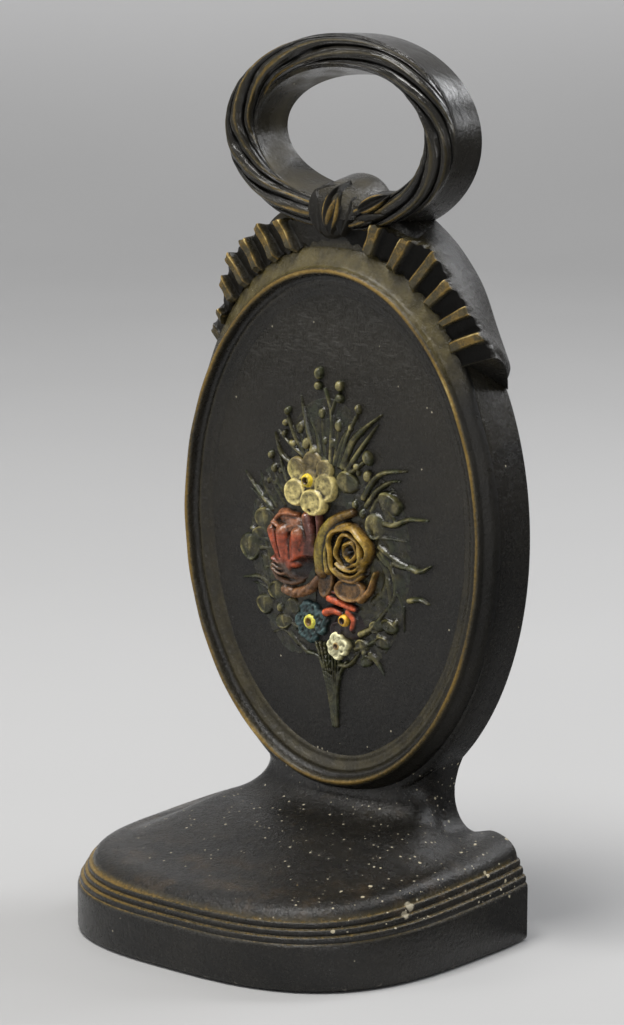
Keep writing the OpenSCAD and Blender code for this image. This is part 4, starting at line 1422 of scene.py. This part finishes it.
def leaves_right(X, Z):
    blades = [
        ([(12.0, 137.0), (15.5, 142.6), (20.0, 145.8), (28.4, 147.2)], 1.2, 2.0),
        ([(13.0, 134.5), (17.0, 139.6), (22.0, 143.0), (26.0, 143.8)], 1.1, 1.8),
        ([(15.0, 133.0), (18.0, 137.6), (23.6, 140.4)], 1.0, 1.5),
        ([(20.5, 129.8), (24.5, 130.0), (30.0, 132.2), (37.2, 132.8)], 1.1, 2.2),
        ([(17.0, 124.6), (22.5, 125.2), (28.8, 125.0)], 0.8, 1.2),
        ([(18.5, 122.0), (24.0, 119.0), (29.5, 117.2)], 1.1, 1.7),
        ([(30.5, 117.0), (34.5, 116.4), (38.6, 118.6)], 1.1, 2.2),
        ([(30.5, 106.6), (34.5, 107.4), (37.9, 106.4)], 1.1, 2.0),
        ([(18.0, 119.5), (22.0, 116.4), (26.5, 118.4)], 1.0, 1.5),
        ([(24.0, 117.6), (28.0, 116.8), (32.4, 116.8)], 1.0, 1.5),
        ([(19.0, 120.5), (23.4, 115.0), (24.6, 107.6), (20.6, 101.6), (15.0, 98.6)], 1.1, 1.5),
        ([(16.0, 104.0), (20.0, 108.0), (21.0, 113.0)], 1.5, 1.3),
        ([(21.5, 112.0), (22.6, 106.0), (22.0, 101.0)], 1.4, 1.3),
        ([(11.0, 93.0), (16.0, 96.0), (21.4, 102.4)], 1.3, 1.9),
        ([(9.0, 88.0), (14.0, 90.0), (19.5, 93.6)], 1.0, 1.5),
        ([(2.5, 81.6), (6.5, 82.4), (10.5, 87.0)], 1.0, 1.5),
        ([(14.6, 87.0), (17.8, 84.4), (20.0, 81.2)], 1.1, 1.3),
        ([(24.0, 110.0), (27.6, 104.0), (28.0, 96.0)], 0.7, 0.9),
    ]
    cups = [
        ((22.2, 136.0), (5.0, 3.9), 2.3, -20, 70), ((16.9, 128.4), (4.3, 4.6), 2.2, 0, 220),
        ((5.4, 140.9), (4.3, 4.0), 2.5, 0, 120), ((17.6, 96.4), (3.2, 2.2), 1.9, 20, 200),
        ((22.4, 97.0), (3.4, 2.4), 1.9, -15, 90), ((11.6, 89.2), (3.2, 2.4), 1.8, 10, 90),
        ((22.0, 132.0), (4.0, 2.0), 1.8, -40, 60), ((13.2, 84.4), (2.8, 1.9), 1.5, 30, 90),
        ((19.4, 91.4), (3.2, 2.2), 1.5, 0, 90),
    ]
    beads = [((13.4, 143.9), 1.6), ((25.0, 98.6), 1.0), ((18.2, 93.4), 1.0), ((12.4, 87.0), 1.1),
             ((9.6, 144.6), 1.0), ((11.5, 131.8), 1.3), ((8.4, 134.4), 1.2), ((5.0, 142.4), 0.9),
             ((3.4, 139.8), 0.9), ((6.6, 139.0), 0.9)]
    return foliage(X, Z, blades, 0.35, cups, beads, 1.6, ((14.0, 113), (16, 31), 0.95, -8), 62)


def bud_spray(X, Z):
    buds = [
        (-6.7, 174.4, 1.7, 2.2), (-6.9, 170.4, 1.5, 1.6), (1.8, 171.2, 1.7, 2.0), (1.8, 167.3, 1.6, 1.7),
        (-5.2, 161.8, 1.5, 1.9), (1.6, 158.6, 1.5, 2.2), (-14.0, 156.4, 1.6, 2.3), (-19.6, 161.0, 1.2, 1.6),
        (-20.3, 157.2, 1.2, 1.5), (-11.5, 151.4, 1.7, 2.3), (-17.0, 151.0, 1.7, 1.1), (-3.8, 153.2, 1.3, 1.5),
        (-0.2, 152.8, 1.4, 1.7), (-3.8, 146.8, 1.6, 2.0), (-8.3, 149.6, 1.9, 1.7), (9.2, 164.6, 1.1, 1.8),
        (13.4, 149.6, 1.9, 2.6), (9.0, 146.4, 1.4, 1.5), (6.4, 158.6, 1.0, 1.4), (-20.8, 153.8, 0.9, 1.2),
    ]
    blades = [
        ([(-1.6, 143.0), (-1.3, 155.0), (-1.6, 163.0), (-4.4, 169.6)], 0.8, 1.4, 0.5),
        ([(-1.4, 162.0), (0.2, 166.6), (1.6, 169.0)], 0.6, 1.2, 0.5),
        ([(-3.0, 145.0), (-4.6, 154.0), (-5.2, 160.4)], 0.8, 1.2, 0.5),
        ([(0.0, 146.0), (1.0, 153.0), (1.5, 157.4)], 0.8, 1.2, 0.5),
        ([(-6.5, 146.0), (-11.0, 155.0), (-14.4, 166.4)], 0.9, 1.3, 0.2),
        ([(-8.0, 145.0), (-13.0, 152.0), (-14.0, 155.4)], 0.8, 1.2, 0.5),
        ([(-10.0, 146.0), (-16.5, 153.0), (-20.0, 160.0)], 0.8, 1.2, 0.4),
        ([(-12.0, 147.0), (-18.5, 150.5), (-23.8, 154.4)], 0.8, 1.2, 0.2),
        ([(2.0, 146.0), (4.8, 155.0), (9.2, 163.6)], 1.0, 1.4, 0.4),
        ([(3.6, 146.0), (7.2, 154.0), (11.6, 158.6), (18.4, 163.8)], 1.3, 1.9, 0.25),
        ([(5.2, 145.0), (10.6, 152.4), (17.0, 160.6)], 1.0, 1.5, 0.25),
        ([(4.6, 143.0), (9.0, 146.0), (13.0, 149.4)], 0.9, 1.4, 0.5),
        ([(0.6, 147.0), (3.4, 155.0), (6.4, 158.6)], 0.8, 1.2, 0.4),
        ([(-14.5, 143.5), (-21.9, 146.5), (-25.1, 153.5)], 0.8, 1.2, 0.3),
        ([(-5.7, 148.0), (-7.4, 155.0), (-10.2, 159.2)], 0.9, 1.1, 0.4),
    ]
    h = many(X, Z, [(stroke, path, 1.15 * w, top + 0.45, tip) for path, w, top, tip in blades])
    for x, z, rx, rz in buds:
        lean = math.degrees(math.atan2(x + 1.5, 38))
        h = np.maximum(h, dome(X, Z, (x, z), (rx, rz), 0.75 + 1.0 * rx, lean, 0.5))
    return np.maximum(h, dome(X, Z, (-3, 149), (16, 18), 0.9, 0, 1.0))


def stem_bundle(X, Z):
    h = FLAT
    for x in (-7.4, -5.7, -4.0, -2.3, -0.6, 1.1, 2.8):
        path = [(x, 88.0), (x * 0.62, 80.0), (x * 0.34 + 0.4, 71.0), (x * 0.20 + 0.9, 61.0)]
        h = np.maximum(h, stroke(X, Z, path, 0.48, 1.5, 0.5))
    return many(X, Z, [
        (stroke, [(-11.0, 84.0), (-6.5, 83.0), (-2.5, 78.0)], 0.7, 1.3, 0.4),
        (stroke, [(5.0, 83.0), (2.6, 79.0), (1.2, 72.0)], 0.7, 1.4, 0.4),
    ], h)


def scarlet_blossom(X, Z):
    return many(X, Z, [
        (dome, (6.6, 95.8), (6.4, 5.6), 1.7, 0, 0.5),
        (stroke, [(-1.0, 103.0), (3.2, 102.2), (9.2, 101.0)], 1.6, 3.2, 0.8),
        (stroke, [(0.0, 105.2), (4.0, 105.0), (8.0, 103.8)], 1.1, 2.2, 0.7),
        (stroke, [(-2.6, 98.2), (0.4, 99.2), (3.4, 98.8)], 1.8, 3.0, 0.8),
        (stroke, [(6.8, 99.6), (8.9, 97.4), (8.2, 94.2)], 1.6, 3.0, 0.8),
        (cup, (1.6, 93.6), (3.4, 2.6), 1.9, 30, 0.3, 0.3),
    ])


def scarlet_paint(X, Z, h):
    orange = (0.52, 0.095, 0.030)
    return coats((0.026, 0.014, 0.014), (orange, smooth((h - 1.9) / 0.7) * smooth((Z - 93.6) / 2.0)))


# Centres of the four open blossoms.
CREAM_AT = (-9.6, 140.0)
BLUE_AT = (-9.3, 94.2)
RED_AT = (5.2, 96.8)
WHITE_AT = (2.0, 88.0)


def build_greenery():
    """Leaves, buds and stems, which share one paint."""
    leaf = paint_material("leaf_green", 0.18, 0.8)
    for name, node, shape, box in (
        ("leaf_fan_left", "leaves_left", leaves_left, (-42, -8, 80, 157)),
        ("leaf_fan_right", "leaves_right", leaves_right, (1, 41, 78, 150)),
        ("bud_stems", "bud_spray", bud_spray, (-26, 21, 133, 179)),
        ("stems", "stem_bundle", stem_bundle, (-13, 8, 58, 90)),
    ):
        painted(name, node, shape, box, leaf, leaf_paint, 0.25, 0.14)


def build_blooms():
    """Roses and open blossoms, each with its own paint."""
    rose_red = paint_material("rose_red", 0.24, 0.9)
    rose_gold = paint_material("rose_gold", 0.26, 1.0)
    cream = paint_material("petal_cream", 0.30, 1.0)
    blue = paint_material("petal_blue", 0.36, 0.8)
    scarlet = paint_material("petal_scarlet", 0.30, 0.8)
    white = paint_material("petal_white", 0.36, 0.6)
    blue_petals = small_blossom(BLUE_AT, 7.0, 20, 1.8, 0.42, 0.60, 0.35)
    white_petals = small_blossom(WHITE_AT, 4.6, 15, 2.3, 0.50, 0.54, 0.12)
    blue_paint = flat_paint(
        (0.0, (0.010, 0.018, 0.018)), (1.2, (0.022, 0.046, 0.048)), (1.9, (0.060, 0.110, 0.110))
    )
    white_paint = flat_paint(
        (0.0, (0.13, 0.11, 0.05)), (1.3, (0.44, 0.40, 0.20)), (2.2, (0.86, 0.82, 0.50))
    )
    for name, node, *looks in (
        ("rose_red_bloom", "red_rose", red_rose, (-28, -1, 98, 136), rose_red, red_paint, 0.2, 0.2),
        ("rose_gold_bloom", "gold_rose", gold_rose, (-9, 22, 101, 137), rose_gold, gold_paint, 0.2, 0.18),
        ("cream_petals", "cream_blossom", cream_blossom, (-21, 4, 126, 152), cream, cream_paint, 0.2, 0.18),
        ("blue_petals", "blue_blossom", blue_petals, (-18, 0, 85, 103), blue, blue_paint),
        ("scarlet_petals", "red_blossom", scarlet_blossom, (-6, 15, 87, 108), scarlet, scarlet_paint),
        ("white_petals", "white_blossom", white_petals, (-5, 9, 81, 95), white, white_paint),
    ):
        painted(name, node, *looks)


def build_eyes():
    """Centres of the open blossoms."""
    yellow = paint_material("eye_yellow", 0.28, 0.4)
    brown = paint_material("eye_brown", 0.34, 0.4)
    for name, node, at, r, top, pit, rim_color, pit_color, material in (
        ("cream_eye", "cream_blossom_eye", CREAM_AT, 2.5, 4.0, 0.45,
         (0.80, 0.60, 0.04), (0.10, 0.055, 0.01), yellow),
        ("blue_eye", "blue_blossom_eye", BLUE_AT, 2.7, 2.5, 0.35,
         (0.74, 0.70, 0.10), (0.24, 0.13, 0.012), yellow),
        ("scarlet_eye", "red_blossom_eye", RED_AT, 2.2, 3.4, 0.35,
         (0.78, 0.46, 0.05), (0.040, 0.012, 0.008), yellow),
        ("white_eye", "white_blossom_eye", WHITE_AT, 1.6, 2.6, 0.3,
         (0.50, 0.33, 0.11), (0.090, 0.050, 0.018), brown),
    ):
        x, z = at
        box = (x - r - 1, x + r + 1, z - r - 1, z + r + 1)
        paint = eye_paint(at, r, rim_color, pit_color)
        painted(name, node, eye(at, r, top, pit), box, material, paint, 0.16, 0.12)


# ---------- Rubber ----------


def build_buttons():
    """Rubber feet under the base and bumpers behind it, each with a stem in its hole."""
    material = rubber_material()
    top = RECESS + STEM_L
    for node, (at, axis, proud) in BUTTONS.items():
        profile = [
            [BUTTON_R - 2.6, -proud], [BUTTON_R - 1.0, -proud + 0.01],
            [BUTTON_R - 0.35, -proud * 0.75], [BUTTON_R, -proud * 0.25], [BUTTON_R, RECESS],
            [STEM_R - 0.1, RECESS + 0.02], [STEM_R - 0.1, top - 1.0], [STEM_R - 0.8, top - 0.1],
        ]
        dress(revolve(node + "_pad", profile, at, axis), material, node, 40)


# ---------- Stage ----------


# Camera, fitted to the photo's view: its own axes, its place in the modelling frame, its lens.
CAMERA_RIGHT = (0.7645, 0.6446, 0.0033)
CAMERA_UP = (-0.1290, 0.1480, 0.9805)
CAMERA_BACK = (0.6315, -0.7501, 0.1963)
CAMERA_MM = (759.95, -932.07, 368.54)
LENS_MM = 135.2
SENSOR_MM = 36.0


def floor_point(ahead, across, z):
    """Point in metres, measured on the floor along and across the camera's view."""
    p = across * np.array(CAMERA_RIGHT[:2]) - ahead * np.array(CAMERA_BACK[:2])
    return p[0], p[1], z


def grey_noise(n, size, low, high):
    """Neutral grey that drifts between two levels over about size millimetres."""
    return n.blend(n.patches(size, 2, 0.5, 0.3, 0.7), (low,) * 3, (high,) * 3)


def stage_sheet(name, points, faces, material):
    mesh = bpy.data.meshes.new(name)
    mesh.from_pydata(points, [], faces)
    mesh.shade_smooth()
    mesh.materials.append(material)
    obj = link(name, mesh)
    return obj


def build_sweep():
    """Pale paper: a floor that curves up into a backdrop."""
    depth, half, bend, top = 1.6, 3.0, 0.9, 2.6
    path = [(-2.2, 0.0), (depth, 0.0)]
    for a in np.linspace(0, math.pi / 2, 24)[1:]:
        path.append((depth + bend * math.sin(a), bend * (1 - math.cos(a))))
    path.append((depth + bend, top))
    points = [floor_point(s, side, z) for s, z in path for side in (-half, half)]
    faces = [(2 * i, 2 * i + 1, 2 * i + 3, 2 * i + 2) for i in range(len(path) - 1)]
    n = Nodes("sweep_paper")
    white = (0.80, 0.80, 0.805)
    # The floor is painted darker grey and the backdrop near white: painted shade and light that set how
    # bright each looks.
    color = n.blend(n.ramp(n.axis(2), 20, 260), grey_noise(n, 300, 0.505, 0.52), white)
    color = n.blend(n.ramp(n.axis(2), 300, 1000), color, white)
    normal = n.bump(n.noise(1.2, 2, 0.5), 0.01, 0.2)
    stage_sheet("sweep", points, faces, n.finish(color, 0.9, normal, 0.0, 0.1))


def build_card():
    """Dark card beside the object, out of frame, that puts reflected shade on the object's right side."""
    reach, lift, top = 0.30, 0.0015, 0.26
    path = ((0.08, lift), (reach, lift), (reach, top))
    points = [floor_point(s, across, z) for across, z in path for s in (-0.30, 0.40)]
    n = Nodes("card_black")
    normal = n.bump(n.noise(2, 2, 0.5), 0.01, 0.2)
    material = n.finish(grey_noise(n, 40, 0.100, 0.120), 0.9, normal)
    card = stage_sheet("card", points, [(0, 1, 3, 2), (2, 3, 5, 4)], material)
    # It shows only in reflections, so it throws no shadow on the paper.
    card.data.shade_flat()
    card.visible_camera = False
    card.visible_diffuse = False
    card.visible_shadow = False


def stand(obj, right, up, back, at):
    """Puts the object at a point in metres, with its own axes along the three directions."""
    rows = np.column_stack([right, up, back, at]).tolist()
    obj.matrix_world = Matrix(rows + [[0, 0, 0, 1]])


def area_light(name, at, aim, size, power, color):
    light = bpy.data.lights.new(name, "AREA")
    light.shape = "RECTANGLE"
    light.size, light.size_y = size
    light.energy = power
    light.color = color
    back = np.array(at, float) - np.array(aim, float)
    back /= np.linalg.norm(back)
    right = np.cross([0, 0, 1], back)
    right /= np.linalg.norm(right)
    obj = link(name, light)
    stand(obj, right, np.cross(back, right), back, at)
    return obj


def build_lights():
    bpy.context.scene.view_settings.view_transform = "Standard"
    world = bpy.data.worlds.new("studio")
    bpy.context.scene.world = world
    world.use_nodes = True
    background = world.node_tree.nodes["Background"]
    background.inputs[0].default_value = (0.98, 0.985, 1.0, 1)
    background.inputs[1].default_value = 0.36
    warm, cool, neutral = (1.0, 0.985, 0.96), (0.97, 0.98, 1.0), (1.0, 0.99, 0.98)
    middle, upper, lower = (0, 0, 0.13), (0, 0, 0.2), (0, 0, 0.08)
    area_light("overhead", (-0.1, -0.35, 1.4), middle, (0.50, 0.40), 14, warm)
    area_light("back_right", (0.74, 1.0, 0.64), upper, (0.27, 0.27), 2.3, cool)
    area_light("top_back", (0.30, 0.95, 1.0), upper, (0.40, 0.35), 5.6, cool)
    area_light("left", (-1.2, -1.3, 0.9), middle, (0.5, 0.7), 5.0, warm)
    area_light("backdrop", (-1.1, 1.1, 2.2), (-1.5, 2.0, 0.8), (0.8, 0.8), 6.5, neutral)
    glint = area_light("glint", (1.25, -0.95, 0.62), lower, (0.12, 0.20), 4.0, neutral)
    glint.visible_diffuse = False


def build_camera():
    camera = bpy.data.cameras.new("camera")
    camera.sensor_fit = "VERTICAL"
    camera.sensor_height = SENSOR_MM
    camera.lens = LENS_MM
    camera.clip_start = 0.05
    camera.clip_end = 20
    obj = link("camera", camera)
    stand(obj, CAMERA_RIGHT, CAMERA_UP, CAMERA_BACK, (np.array(CAMERA_MM) + SHIFT) * MM)
    bpy.context.scene.camera = obj


# ---------- Build ----------

casting = build_casting()
put_float(casting, "gilt", casting_gilt(points_of(casting)))
put_float(casting, "olive", casting_dust(points_of(casting)))
dress(casting, casting_material(), "iron_casting", 34)
build_rim()
build_wrap()
build_ribbons()
build_greenery()
build_blooms()
build_eyes()
build_buttons()
build_sweep()
build_card()
build_lights()
build_camera()
